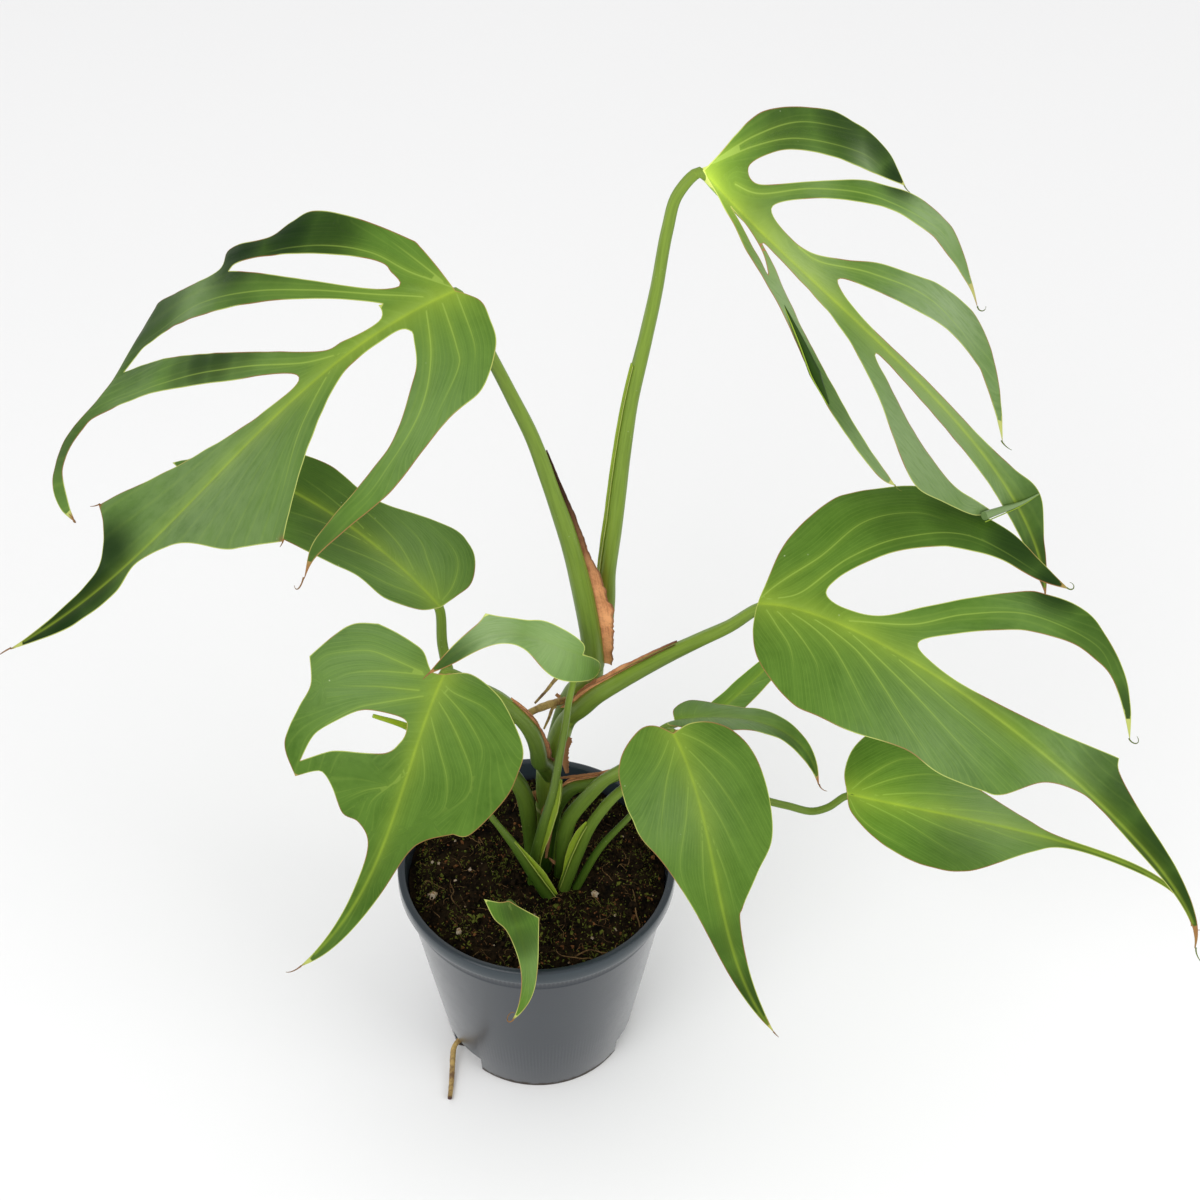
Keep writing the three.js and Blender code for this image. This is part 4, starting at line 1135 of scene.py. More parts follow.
def soil_finish(name, first, second, scale, roughness=0.95):
    """Two colours of rough matter in patches of a size."""
    material, finish = new_material(name)
    place = finish.place()
    patch = finish.group("Mottle", Vector=place, Scale=scale, Contrast=0.16, First=first, Second=second)
    grain = finish.noise(place, 1500.0, 4.0, 0.7)
    surface(finish, patch["Colour"], roughness, finish.bump(grain, 0.5 * MM), Specular_IOR_Level=0.04)
    return material


# Pot

def turned(name, profile, sides):
    """A closed body turned about the upright axis, from a profile of (radius, height) in mm."""
    clear_selection()
    first, level = profile[0]
    bpy.ops.mesh.primitive_circle_add(vertices=sides, radius=first * MM, location=(0, 0, level * MM))
    piece = added(name)
    bpy.ops.object.transform_apply(location=True, rotation=False, scale=False)
    with editing(piece):
        for (radius, height), (next_radius, next_height) in zip(profile, profile[1:]):
            rise = (0, 0, (next_height - height) * MM)
            bpy.ops.mesh.extrude_region_move(TRANSFORM_OT_translate={"value": rise})
            spread = next_radius / radius
            bpy.ops.transform.resize(value=(spread, spread, 1), center_override=(0, 0, 0))
    return piece


def close_ends(piece):
    """Closes the open rings at the ends of a turned body with fans."""
    with editing(piece, "DESELECT"):
        bpy.ops.mesh.select_non_manifold()
        bpy.ops.mesh.fill_holes(sides=0)
        bpy.ops.mesh.select_all(action="SELECT")
        bpy.ops.mesh.poke()


def upright_rod(name, x, y, radius, low, high, sides=48):
    """A round rod standing at a place, in metres."""
    clear_selection()
    bpy.ops.mesh.primitive_cylinder_add(
        vertices=sides, radius=radius, depth=high - low, location=(x, y, (low + high) / 2))
    return added(name)


def cut(piece, tool, operation="DIFFERENCE"):
    """Cuts a piece with a tool, or joins the tool to it, and removes the tool."""
    apply_modifier(piece, "BOOLEAN", object=tool, operation=operation, solver="EXACT")
    bpy.data.objects.remove(tool)


RECESS_TURNS = (-139, -21, 99)  # degrees round from +X
AXIS = 0.5  # mm, the radius at which a turned body starts and ends
POT_FLOOR = 2.4  # mm, the thickness of the pot's floor
HOLE_RADIUS = 3.2 * MM  # of the drain hole in each recess
HOLE_HEIGHT = 7 * MM
HOLE_REACH = 9 * MM


def recess_places(sizes):
    """The axis of each recess in the pot's foot."""
    for degrees in RECESS_TURNS:
        turn = math.radians(degrees)
        yield turn, sizes.recess_out * math.cos(turn), sizes.recess_out * math.sin(turn)


def wall_profile(sizes, inset):
    """The plain outside of the pot's wall, from the foot to the band, moved in by an inset."""
    band_foot = sizes.height - sizes.band_height
    foot = sizes.foot_radius - inset
    top = sizes.rim_radius - sizes.band_step - inset
    return foot / MM, top / MM, band_foot / MM


class MONSTERA_OT_pot(bpy.types.Operator):
    """Turns the pot, cuts its foot recesses and rounds its rim"""
    bl_idname = "monstera.pot"
    bl_label = "Pot"

    def execute(self, context):
        sizes = context.scene.monstera_pot
        foot, top, band_foot = wall_profile(sizes, 0)
        wall, rim, height = sizes.wall / MM, sizes.rim_radius / MM, sizes.height / MM
        ring = sizes.ring_height / MM
        at_ring = foot + (top - foot) * ring / band_foot
        inner_rim = rim - sizes.rim_width / MM
        profile = [
            (AXIS, 0), (foot - 5, 0), (foot - 1, 0), (foot - 0.2, 0.5), (foot + 0.1, 1.4),
            (foot + (top - foot) * 0.5, band_foot * 0.5),
            (at_ring - 0.2, ring - 0.8), (at_ring + 0.25, ring - 0.4), (at_ring + 0.35, ring + 0.2),
            (at_ring + 0.3, ring + 1.2), (top, band_foot - 0.6), (top + 0.5, band_foot),
            (rim - 0.9, band_foot), (rim - 0.2, band_foot + 0.3), (rim, band_foot + 1),
            (rim, height - 1.8), (rim - 0.3, height - 0.7), (rim - 1.1, height - 0.1),
            (rim - 1.7, height), (inner_rim + 0.6, height - 0.5), (inner_rim + 0.1, height - 0.9),
            (inner_rim - 0.2, height - 1.8), (top - wall, band_foot + 1), (top - wall - 0.3, band_foot - 2),
            (foot - wall + (top - foot) * 0.5, band_foot * 0.5), (foot - wall, POT_FLOOR + 2),
            (foot - wall - 2, POT_FLOOR), (AXIS, POT_FLOOR),
        ]
        pot = turned("pot_shell", profile, 192)
        close_ends(pot)
        mend(pot)
        radius = sizes.recess_radius
        for _, x, y in recess_places(sizes):
            roof = sizes.recess_height + sizes.wall
            lining = upright_rod("lining", x, y, radius + sizes.wall, 0.2 * MM, roof)
            within = [(AXIS, 0), (foot - 0.6, 0), (top - 0.6, band_foot), (AXIS, band_foot)]
            outside = turned("outside", within, 96)
            close_ends(outside)
            mend(outside)
            cut(lining, outside, "INTERSECT")
            cut(pot, lining, "UNION")
        for turn, x, y in recess_places(sizes):
            cut(pot, upright_rod("recess", x, y, radius, -5 * MM, sizes.recess_height))
            hole = upright_rod("hole", 0, 0, HOLE_RADIUS, -HOLE_REACH, HOLE_REACH, 24)
            reach = sizes.recess_out - radius
            hole.data.transform(
                Matrix.Translation((reach * math.cos(turn), reach * math.sin(turn), HOLE_HEIGHT))
                @ Matrix.Rotation(turn, 4, "Z") @ Matrix.Rotation(math.pi / 2, 4, "Y"))
            cut(pot, hole)
        mend(pot, 1e-5)
        smooth(pot, 32)
        pot.data.materials.append(pot_finish())
        settle(pot, "pot", "pot")
        return {"FINISHED"}


# Soil

def soil_height(sizes, x, y):
    """The height of the soil's surface at a place, all in mm."""
    rise = sizes.unevenness / MM
    top = SOIL_HIGH.z / MM - 0.8 * rise
    near_wall = max(0.0, math.hypot(x, y) - 52) / 17
    hills = noise.noise(Vector((x, y, 0)) / 17) + 0.55 * noise.noise(Vector((x, y, 9)) / 6)
    lumps = 0.45 * noise.noise(Vector((x, y, 3)) / 2.6) + 0.35 * noise.noise(Vector((x, y, 5)) / 1.3)
    return top + rise * (hills * 0.8 + lumps * 1.5) - 2.2 * near_wall**2


SOIL_RADIUS = 69.2  # mm, where the soil meets the wall
SOIL_STEP = 0.98  # how far the soil's side draws in under its surface
SOIL_GAP = 0.4 * MM  # between the soil and the pot
LITTER_RADIUS = 66.5  # mm from the pot's axis that the litter reaches
STRAND_RADIUS = 67.0  # mm from the axis where a fibre ends


class MONSTERA_OT_soil(bpy.types.Operator):
    """Lays the bed of potting mix"""
    bl_idname = "monstera.soil"
    bl_label = "Soil"

    def execute(self, context):
        sizes = context.scene.monstera_soil
        pot = context.scene.monstera_pot
        clear_selection()
        bpy.ops.mesh.primitive_grid_add(x_subdivisions=132, y_subdivisions=132, size=2)
        bed = added("soil_bed")
        flat = places_of(bed) * MM
        x, y = flat[:, 0].copy(), flat[:, 1].copy()
        flat[:, 0] = SOIL_RADIUS * x * np.sqrt(1 - y * y / 2)
        flat[:, 1] = SOIL_RADIUS * y * np.sqrt(1 - x * x / 2)
        flat[:, 2] = [soil_height(sizes, px, py) for px, py in flat[:, :2]]
        move_to(bed, flat)
        foot = wall_profile(pot, pot.wall + SOIL_GAP)[0]
        spread = foot / (SOIL_RADIUS * SOIL_STEP)
        with editing(bed, "DESELECT"):
            bpy.ops.mesh.select_non_manifold()
            bpy.ops.mesh.extrude_region_move(TRANSFORM_OT_translate={"value": (0, 0, -6 * MM)})
            bpy.ops.transform.resize(value=(SOIL_STEP, SOIL_STEP, 0), center_override=(0, 0, 117 * MM))
            bpy.ops.mesh.extrude_region_move(TRANSFORM_OT_translate={"value": (0, 0, -113.5 * MM)})
            bpy.ops.transform.resize(value=(spread, spread, 1), center_override=(0, 0, 0))
            bpy.ops.mesh.edge_face_add()
        mend(bed)
        for _, px, py in recess_places(pot):
            room = pot.recess_radius + pot.wall + SOIL_GAP
            roof = pot.recess_height + pot.wall + SOIL_GAP
            cut(bed, upright_rod("room", px, py, room, -5 * MM, roof))
        smooth(bed, 60)
        bed.data.materials.append(soil_finish("soil_mix", sizes.peat, sizes.coir, 150.0))
        settle(bed, "soil", "soil")
        return {"FINISHED"}


def pixel_ray(x, y):
    """The camera's place, in mm, and the direction in which it sees a pixel of the photograph."""
    looks = bpy.context.scene.monstera_stage
    eye, right, up, ahead = camera_frame(looks)
    half = PHOTO_SIDE / 2
    return np.array(eye) / MM, unit(ahead * looks.focal_pixels + right * (x - half) - up * (y - half))


def photo_place(x, y, height):
    """The place, in mm, at a height that a pixel of the photograph shows."""
    eye, ray = pixel_ray(x, y)
    return eye + ray * (height - eye[2]) / ray[2]


def turns_of(count, draw):
    """Random turns, as 3x3 matrices."""
    q = unit(draw.normal(size=(count, 4)))
    w, x, y, z = q.T
    return np.stack([
        np.stack([1 - 2 * (y * y + z * z), 2 * (x * y - z * w), 2 * (x * z + y * w)], -1),
        np.stack([2 * (x * y + z * w), 1 - 2 * (x * x + z * z), 2 * (y * z - x * w)], -1),
        np.stack([2 * (x * z - y * w), 2 * (y * z + x * w), 1 - 2 * (x * x + y * y)], -1),
    ], -2)


def crumb_shape(detail):
    """The places and faces of a rough ball of radius 1."""
    clear_selection()
    bpy.ops.mesh.primitive_ico_sphere_add(subdivisions=detail, radius=MM)
    ball = added("crumb")
    places = places_of(ball)
    faces = [tuple(face.vertices) for face in ball.data.polygons]
    bpy.data.objects.remove(ball)
    return places, faces


def scatter(name, finish, shape, spots, sizes, draw, roughness=0.35):
    """Copies of a shape, each turned, sized and knocked about, at places in mm, as one mesh."""
    places, faces = shape
    count = len(spots)
    squash = draw.uniform(0.55, 1.25, size=(count, 1, 3))
    knocked = places[None] * squash * (1 + draw.uniform(-roughness, roughness, (count, len(places), 1)))
    turned_places = np.einsum("nij,nkj->nki", turns_of(count, draw), knocked * sizes[:, None, None])
    laid = turned_places + spots[:, None]
    indices = np.array(faces)[None] + (np.arange(count) * len(places))[:, None, None]
    return mesh_piece(name, laid.reshape(-1, 3), indices.reshape(-1, len(faces[0])).tolist(), finish)


def spread_spots(sizes, count, draw, lift=0.0):
    """Random places on the soil, in mm."""
    radius = LITTER_RADIUS * np.sqrt(draw.uniform(0, 1, count))
    turn = draw.uniform(0, 2 * math.pi, count)
    x, y = radius * np.cos(turn), radius * np.sin(turn)
    return np.array([[px, py, soil_height(sizes, px, py) + lift] for px, py in zip(x, y)])


def lying_strand(sizes, spot, heading, length_mm, bends, draw, lift):
    """A thin line that wanders over the soil from a spot."""
    steps = 7
    line = []
    x, y = spot[:2]
    for step in range(steps + 1):
        if math.hypot(x, y) > STRAND_RADIUS:
            break
        hop = math.sin(math.pi * step / steps) * lift
        line.append((x, y, soil_height(sizes, x, y) + 0.25 + hop))
        heading += draw.normal(0, bends)
        x += math.cos(heading) * length_mm / steps
        y += math.sin(heading) * length_mm / steps
    return np.array(line)


# Pixels of the photograph, and the size in mm, of the grains and curled roots that stand out
BIG_GRAINS = ((433, 895, 2.3), (595, 893, 1.6), (470, 870, 1.0), (455, 880, 0.9), (592, 938, 1.0),
              (459, 932, 1.3), (432, 862, 0.9))
SPRIG = (475, 920)
CURLY_ROOTS = ((612, 948, 0.2), (596, 958, 2.8), (640, 925, 1.4), (462, 912, 2.0), (575, 955, 0.6))


class MONSTERA_OT_litter(bpy.types.Operator):
    """Scatters crumbs, perlite, moss, fibres and curled roots on the soil"""
    bl_idname = "monstera.litter"
    bl_label = "Crumbs, moss and fibres"

    def execute(self, context):
        sizes = context.scene.monstera_soil
        draw = np.random.default_rng(11)
        small = crumb_shape(1)
        round_shape = crumb_shape(2)
        spots = spread_spots(sizes, sizes.crumbs, draw)
        dark = scatter("soil_crumbs", soil_finish("soil_crumb", sizes.peat, sizes.coir, 600.0), small,
                       spots, draw.gamma(3.0, 0.25, sizes.crumbs) + 0.35, draw)
        settle(dark, "soil")
        spots = spread_spots(sizes, sizes.flecks, draw, lift=0.2)
        kinds = (("bark_bits", sizes.coir, sizes.bark), ("moss_bits", sizes.moss_green, sizes.moss_pale))
        for kind, (name, first, second) in enumerate(kinds):
            mine = spots[kind::len(kinds)]
            bits = scatter(name, soil_finish(name, first, second, 420.0), small, mine,
                           draw.gamma(2.0, 0.16, len(mine)) + 0.2, draw, 0.5)
            settle(bits, "soil")
        spots = spread_spots(sizes, sizes.perlite, draw, lift=0.3)
        big = [[*photo_place(x, y, SOIL_HIGH.z / MM)[:2], 0] for x, y, _ in BIG_GRAINS]
        for spot in big:
            spot[2] = soil_height(sizes, *spot[:2]) + 0.6
        spots = np.concatenate([spots, big])
        grain_sizes = np.concatenate([draw.uniform(0.3, 0.85, sizes.perlite), [g[2] for g in BIG_GRAINS]])
        grains = scatter("perlite", soil_finish("perlite_grain", sizes.grain, sizes.straw, 500.0, 0.8),
                         round_shape, spots, grain_sizes, draw, 0.5)
        settle(grains, "soil")
        self.moss(sizes, draw)
        self.fibres(sizes, draw)
        return {"FINISHED"}

    def moss(self, sizes, draw):
        """Short pointed blades in tufts where the mix stays damp, and one seedling sprig."""
        parts = []
        spots = spread_spots(sizes, sizes.moss, draw)
        damp = ripple(spots, 14.0, 4.0)
        for spot, wet in zip(spots, damp):
            if wet < 0.05:
                continue
            lean = draw.normal(0, 0.7, 2)
            tall = draw.uniform(0.7, 1.9)
            tip = spot + [lean[0] * tall, lean[1] * tall, tall]
            middle = (spot + tip) / 2 + [0, 0, 0.25 * tall]
            parts.append(loft(np.array([spot, middle, tip]), [0.12, 0.2, 0.03], 3))
        x, y = SPRIG
        foot = photo_place(x, y, SOIL_HIGH.z / MM)
        foot[2] = soil_height(sizes, *foot[:2])
        for turn, tall in ((0.4, 7), (1.9, 5), (2.7, 8), (4.4, 6), (5.3, 4)):
            reach = np.array([math.cos(turn), math.sin(turn), 0]) * tall * 0.6
            rise = np.array([0, 0, tall * 0.5])
            line = smooth_line([foot, foot + reach * 0.5 + rise, foot + reach + rise], 4)
            parts.append(loft(line, between([0.3, 0.35, 0.8, 0.6, 0.05], np.linspace(0, 1, len(line))), 4))
        piece = mesh_piece("moss", *join_parts(parts),
                           soil_finish("moss_blade", sizes.moss_green, sizes.moss_pale, 300.0, 0.8))
        settle(piece, "soil")

    def fibres(self, sizes, draw):
        """Coir fibres and curled roots that wander over the mix."""
        parts = []
        for spot in spread_spots(sizes, sizes.fibres, draw):
            line = lying_strand(sizes, spot, draw.uniform(0, 6.3), draw.uniform(3, 14), 0.35, draw,
                                draw.uniform(0.1, 1.2))
            if len(line) > 3:
                parts.append(loft(line, np.linspace(draw.uniform(0.08, 0.26), 0.05, len(line)), 3))
        for x, y, heading in CURLY_ROOTS:
            spot = photo_place(x, y, SOIL_HIGH.z / MM)
            line = lying_strand(sizes, spot, heading, 26, 0.5, draw, 2.2)
            if len(line) > 3:
                line = smooth_line(line, 5)
                parts.append(loft(line, np.linspace(0.42, 0.2, len(line)), 6))
        piece = mesh_piece("soil_fibres", *join_parts(parts),
                           soil_finish("coir_fibre", sizes.coir, sizes.straw, 70.0, 0.85))
        settle(piece, "soil")


# Blades

class BladeSurface:
    """The bent surface that a blade's flat points are laid on, in mm."""

    def __init__(self, blade):
        self.midrib = np.array(blade["midrib"], float)
        self.t = np.linspace(0, 1, 201)
        self.run = runs(self.bezier(self.t))
        self.length = self.run[-1]
        self.side = unit(blade["side"])
        self.fold, self.droop = (np.array(blade[key], float) for key in ("fold", "droop"))
        self.back = math.radians(blade["back"]) / 100

    def bezier(self, t):
        a, b, c, d = self.midrib
        t = np.asarray(t)[:, None]
        return (1 - t)**3 * a + 3 * (1 - t)**2 * t * b + 3 * (1 - t) * t**2 * c + t**3 * d

    def tangent(self, t):
        a, b, c, d = self.midrib
        t = np.asarray(t)[:, None]
        return unit((1 - t)**2 * (b - a) + 2 * (1 - t) * t * (c - b) + t**2 * (d - c))

    @staticmethod
    def bend(length, slope, rate):
        """How far out and up a section goes that starts at a slope and bends down evenly."""
        rate = np.where(np.abs(rate) < 1e-6, 1e-6, rate)
        end = slope - rate * length
        return (np.sin(slope) - np.sin(end)) / rate, (np.cos(end) - np.cos(slope)) / rate

    def at(self, flat):
        """The places of flat points."""
        along, across = flat[:, 0], flat[:, 1]
        part = np.clip(along / self.length, 0, 1)
        t = np.interp(part * self.length, self.run, self.t)
        ahead = self.tangent(t)
        side = square_to(self.side[0] + (self.side[1] - self.side[0]) * part[:, None], ahead)
        up = np.cross(side, ahead)
        half = (across >= 0).astype(int)
        slope = np.radians(self.fold[0][half] + (self.fold[1] - self.fold[0])[half] * part)
        rate = np.radians(self.droop[0][half] + (self.droop[1] - self.droop[0])[half] * part) / 100
        out, rise = self.bend(np.abs(across), slope, rate)
        back_out, back_rise = self.bend(np.maximum(-along, 0), 0, self.back)
        beyond = np.maximum(along - self.length, 0) - back_out
        sideways = np.where(across < 0, -out, out)
        return (self.bezier(t) + ahead * beyond[:, None] + side * sideways[:, None]
                + up * (rise + back_rise)[:, None])

    def normals(self, flat):
        """The direction up from the surface at flat points."""
        near = 0.5
        ahead = self.at(flat + [near, 0]) - self.at(flat - [near, 0])
        left = flat[:, 1:] < 0
        here = self.at(flat)
        right = np.where(left, here - self.at(flat - [0, near]), self.at(flat + [0, near]) - here)
        return unit(np.cross(right, ahead))


def closed_outline(stretches, spacing):
    """The points of a closed outline given as smooth stretches between corners."""
    parts = []
    for index, stretch in enumerate(stretches):
        corner = stretches[(index + 1) % len(stretches)][0]
        parts.append(even_steps(smooth_line([*stretch, corner]), spacing)[:-1])
    return np.concatenate(parts)


def inside(points, loops):
    """Which flat points lie inside an odd number of closed loops."""
    hit = np.zeros(len(points), bool)
    x, y = points[:, 0], points[:, 1]
    for loop in loops:
        for (x0, y0), (x1, y1) in zip(loop, np.roll(loop, -1, axis=0)):
            if y0 != y1:
                hit ^= ((y0 > y) != (y1 > y)) & (x < (x1 - x0) * (y - y0) / (y1 - y0) + x0)
    return hit


def nearest_on(points, line):
    """Each point's distance to a line, the run to the nearest place, and the side that it lies on."""
    best = np.full(len(points), np.inf)
    place, side = np.zeros(len(points)), np.ones(len(points))
    for start, step, run in zip(line[:-1], np.diff(line, axis=0), runs(line)):
        size = np.linalg.norm(step)
        if size == 0:
            continue
        offset = points - start
        t = np.clip(offset @ step / size**2, 0, 1)
        gap = np.linalg.norm(offset - t[:, None] * step, axis=1)
        nearer = gap < best
        best[nearer] = gap[nearer]
        place[nearer] = run + t[nearer] * size
        side[nearer] = np.sign(step[0] * offset[nearer, 1] - step[1] * offset[nearer, 0])
    return best, place, side


def edge_distance(points, loops):
    """Each point's distance to the nearest of some closed loops."""
    return np.min([nearest_on(points, np.vstack([loop, loop[:1]]))[0] for loop in loops], axis=0)


def grown_veins(surface_of, loops, count):
    """Side veins that arch from the midrib towards the tip, for a blade on which few can be seen."""
    veins = []
    for side in (-1, 1):
        for index in range(count):
            start = surface_of.length * 0.45 * (index / count)**1.3
            heading = math.radians(130 - 95 * (index / count)**0.8)
            walker = np.array([start, side * 0.5])
            line = [walker]
            for _ in range(90):
                walker = walker + VEIN_STEP * np.array([math.cos(heading), side * math.sin(heading)])
                heading -= (heading - math.radians(10)) * 0.03
                ahead_point = walker[None]
                if not inside(ahead_point, loops)[0] or edge_distance(ahead_point, loops)[0] < 2.2:
                    break
                line.append(walker)
            if len(line) > 6:
                veins.append(np.array(line))
    return veins


def thinned(points, gaps):
    """The points that keep their own gap to all those kept before them."""
    kept, cells = [], {}
    cell = max(gaps)
    for index, ((x, y), gap) in enumerate(zip(points.tolist(), gaps)):
        column, row = math.floor(x / cell), math.floor(y / cell)
        near = (other for i in (-1, 0, 1) for j in (-1, 0, 1)
                for other in cells.get((column + i, row + j), ()))
        if all((x - ox)**2 + (y - oy)**2 >= gap * gap for ox, oy in near):
            kept.append(index)
            cells.setdefault((column, row), []).append((x, y))
    return kept


def filled_outline(loops, lines, spacing):
    """Flat points and triangles that fill an outline, with points along the lines inside it."""
    edge = np.concatenate(loops)
    low, high = edge.min(axis=0), edge.max(axis=0)
    rows = np.arange(low[1], high[1], spacing * math.sqrt(3) / 2)
    columns = np.arange(low[0], high[0], spacing)
    grid = np.array([(x + spacing / 2 * (index % 2), y) for index, y in enumerate(rows) for x in columns])
    along_lines = np.concatenate([even_steps(line, spacing * 0.8) for line in lines])
    inner = np.concatenate([along_lines, grid])
    inner = inner[inside(inner, loops)]
    from_lines = int(inside(along_lines, loops).sum())
    clear = edge_distance(inner, loops) > spacing * 0.5
    gaps = np.where(np.arange(len(inner)) < from_lines, spacing * 0.45, spacing * 0.72)
    points = np.concatenate([edge, inner[clear]])
    gaps = np.concatenate([np.zeros(len(edge)), gaps[clear]])
    points = points[thinned(points, np.maximum(gaps, 1e-9))]
    bounds, start = [], 0
    for loop in loops:
        bounds += [(start + k, start + (k + 1) % len(loop)) for k in range(len(loop))]
        start += len(loop)
    made = delaunay_2d_cdt([Vector(point) for point in points], bounds, [], 0, 1e-5)
    points = np.array([tuple(point) for point in made[0]])
    triangles = np.array(made[2])
    triangles = triangles[inside(points[triangles].mean(axis=1), loops)]
    a, b, c = (points[triangles[:, k]] for k in range(3))
    turn = (b[:, 1] - a[:, 1]) * (c[:, 0] - a[:, 0]) - (b[:, 0] - a[:, 0]) * (c[:, 1] - a[:, 1])
    triangles[turn < 0] = triangles[turn < 0][:, ::-1]
    return points, triangles


def open_edges(triangles):
    """The edges that only one triangle has, in that triangle's direction."""
    found = {}
    for a, b, c in triangles.tolist():
        for edge in ((a, b), (b, c), (c, a)):
            if not found.pop((edge[1], edge[0]), None):
                found[edge] = True
    return list(found)


VEIN_STEP = 1.6  # mm between the points of a side vein
DRY_REACH = 3.5  # mm of a finger that its dried end browns
TIP_RADII = (0.42, 0.12)  # mm, of a dried end, at the blade and at its point
FAR = 9  # mm, out of reach of what the material does at an edge or a vein
RIB_ROOTS = {stalk["blade"]: stalk["radii"][-1] for stalk in STALKS.values() if "blade" in stalk}


def carried_on(line, loops):
    """A vein carried on in its last direction until it leaves the blade."""
    step = unit(line[-1] - line[-4]) * VEIN_STEP
    beyond = line[-1] + step * np.arange(1, 40)[:, None]
    out = ~inside(beyond, loops)
    return np.vstack([line, beyond[:out.argmax() if out.any() else len(beyond)]])


def strands_between(lines, found, side):
    """A value that rises from one line to the next, so that its level lines run along them."""
    distances = np.array([gap for gap, _, _ in found])
    nearest = distances.argmin(axis=0)
    columns = np.arange(distances.shape[1])
    turns = np.array([turn for _, _, turn in found])[nearest, columns]
    other = nearest + np.where(turns * side < 0, 1, -1)
    between_two = (other >= 0) & (other < len(lines))
    near = distances[nearest, columns]
    far = distances[np.clip(other, 0, len(lines) - 1), columns]
    share_of_way = np.where(between_two, near / np.maximum(near + far, 1e-6), near / 12)
    return nearest + (other - nearest) * share_of_way


def spots_of(flat, spots, flatness):
    """How strongly some round spots cover each flat point, with softer edges the lower the flatness."""
    cover = np.zeros(len(flat))
    for along, across, reach, strength in spots:
        gap = np.hypot(flat[:, 0] - along, flat[:, 1] - across)
        cover = np.maximum(cover, strength * np.exp(-(gap / reach)**flatness))
    return cover


def blade_notes(flat, surface_of, loops, veins, blade):
    """What the material and the relief need to know at each flat point."""
    part = np.clip(flat[:, 0] / surface_of.length, 0, 1)
    rib = np.hypot(flat[:, 1], np.maximum(-flat[:, 0], 0))
    vein, nearness, strand, run = (np.zeros(len(flat)) for _ in range(4))
    for side in (-1, 1):
        here = flat[:, 1] * side >= 0
        own = sorted((line for line in veins if np.mean(line[:, 1]) * side > 0), key=lambda line: line[0][0])
        own = own or [even_steps(np.array([[0, side], [surface_of.length / 2, side * 4]]), VEIN_STEP)]
        sizes = np.array([runs(line)[-1] for line in own])
        found = [nearest_on(flat[here], carried_on(line, loops)) for line in own]
        distances = np.array([gap for gap, _, _ in found])
        nearest = distances.argmin(axis=0)
        columns = np.arange(distances.shape[1])
        vein[here] = distances[nearest, columns]
        run[here] = np.array([place for _, place, _ in found])[nearest, columns]
        nearness[here] = np.clip(run[here] / sizes[nearest], 0, 1)
        rest = np.array([[own[-1][0][0] + 4, 0.0], [surface_of.length, 0.0]])
        strand[here] = strands_between([*own, rest], [*found, nearest_on(flat[here], rest)], side)
    reach = (surface_of.length / 250)**0.6
    line = 0.85 * np.exp(-(rib / (0.6 + 1.1 * (1 - part) * reach))**2) * (1 - 0.5 * part)
    halo = 0.55 * (1 - part)**0.8 * np.exp(-(rib / ((1.4 + 8 * (1 - part)**1.6) * reach))**1.2)
    along_vein = np.exp(-vein / (0.5 + 2.2 * (1 - nearness))) * 0.42 * (1 - nearness)**1.3 * np.exp(-run / 60)
    broken = 0.85 + 0.3 * ripple(np.column_stack([flat, 0 * part]), 13.0, 3.0)
    glow = np.maximum(np.maximum(line, halo), along_vein * reach) * blade["glow"] * broken
    dried = np.zeros(len(flat))
    for along, across, *_ in blade["tips"]:
        dried = np.maximum(dried, 1 - np.hypot(flat[:, 0] - along, flat[:, 1] - across) / DRY_REACH)
    return {
        "rib_distance": rib,
        "vein_distance": vein,
        "vein_strength": 0.8 * (1 - nearness)**0.7 * blade["glow"] * blade["veining"],
        "edge_distance": edge_distance(flat, loops),
        "glow": np.clip(glow, 0, 1),
        "strand": np.column_stack([strand * 7, flat[:, 0], np.zeros(len(flat))]),
        "dry": np.clip(dried, 0, 1) * blade["withered"],
        # Painted light and shade: a sheen on the spots of wax, shade in the darker spots, and light in the
        # paler spots that the tone carries
        "bloom": spots_of(flat, blade["bloom"], 2),
        "shade": spots_of(flat, blade["darker"], 3.2),
        "tone": blade["tone"] * (1 + spots_of(flat, blade["paler"], 2)),
    }


def blade_relief(flat, facts, looks, rib_root, length_mm, seed):
    """How far the upper and the lower face stand from the surface, in mm."""
    rib, vein, edge = facts["rib_distance"], facts["vein_distance"], facts["edge_distance"]
    fade = np.minimum(rib / 5, 1) * np.minimum(edge / 4, 1)
    quilt = looks.quilting / MM * (1 - np.exp(-(vein / 3.2)**2)) * fade
    trough = looks.trough / MM * np.exp(-(rib / 1.5)**2)
    spots = np.column_stack([flat, np.zeros(len(flat))])
    swell = looks.waves / MM * ripple(spots, 30.0, seed) * (1 - np.exp(-rib / 18))
    ribs = 0.09 * np.cos(facts["strand"][:, 0] * 2 * math.pi / 2.333) * fade
    frill = 0.5 * ripple(spots, 9.0, seed + 5) * np.exp(-edge / 4) * np.minimum(rib / 6, 1)
    upper = quilt - trough + swell + frill + ribs
    part = np.clip(flat[:, 0] / length_mm, 0, 1)
    ridge = rib_root + (0.45 - rib_root) * part**0.6
    arch = ridge * 1.1 * np.sqrt(np.clip(1 - (rib / (ridge * 1.25))**2, 0, 1))
    side_ridge = 0.35 * np.exp(-(vein / 0.9)**2) * facts["vein_strength"]
    thick = looks.thickness / MM * (0.45 + 0.55 * np.minimum(edge / 2, 1))
    return upper, upper - thick - arch - side_ridge


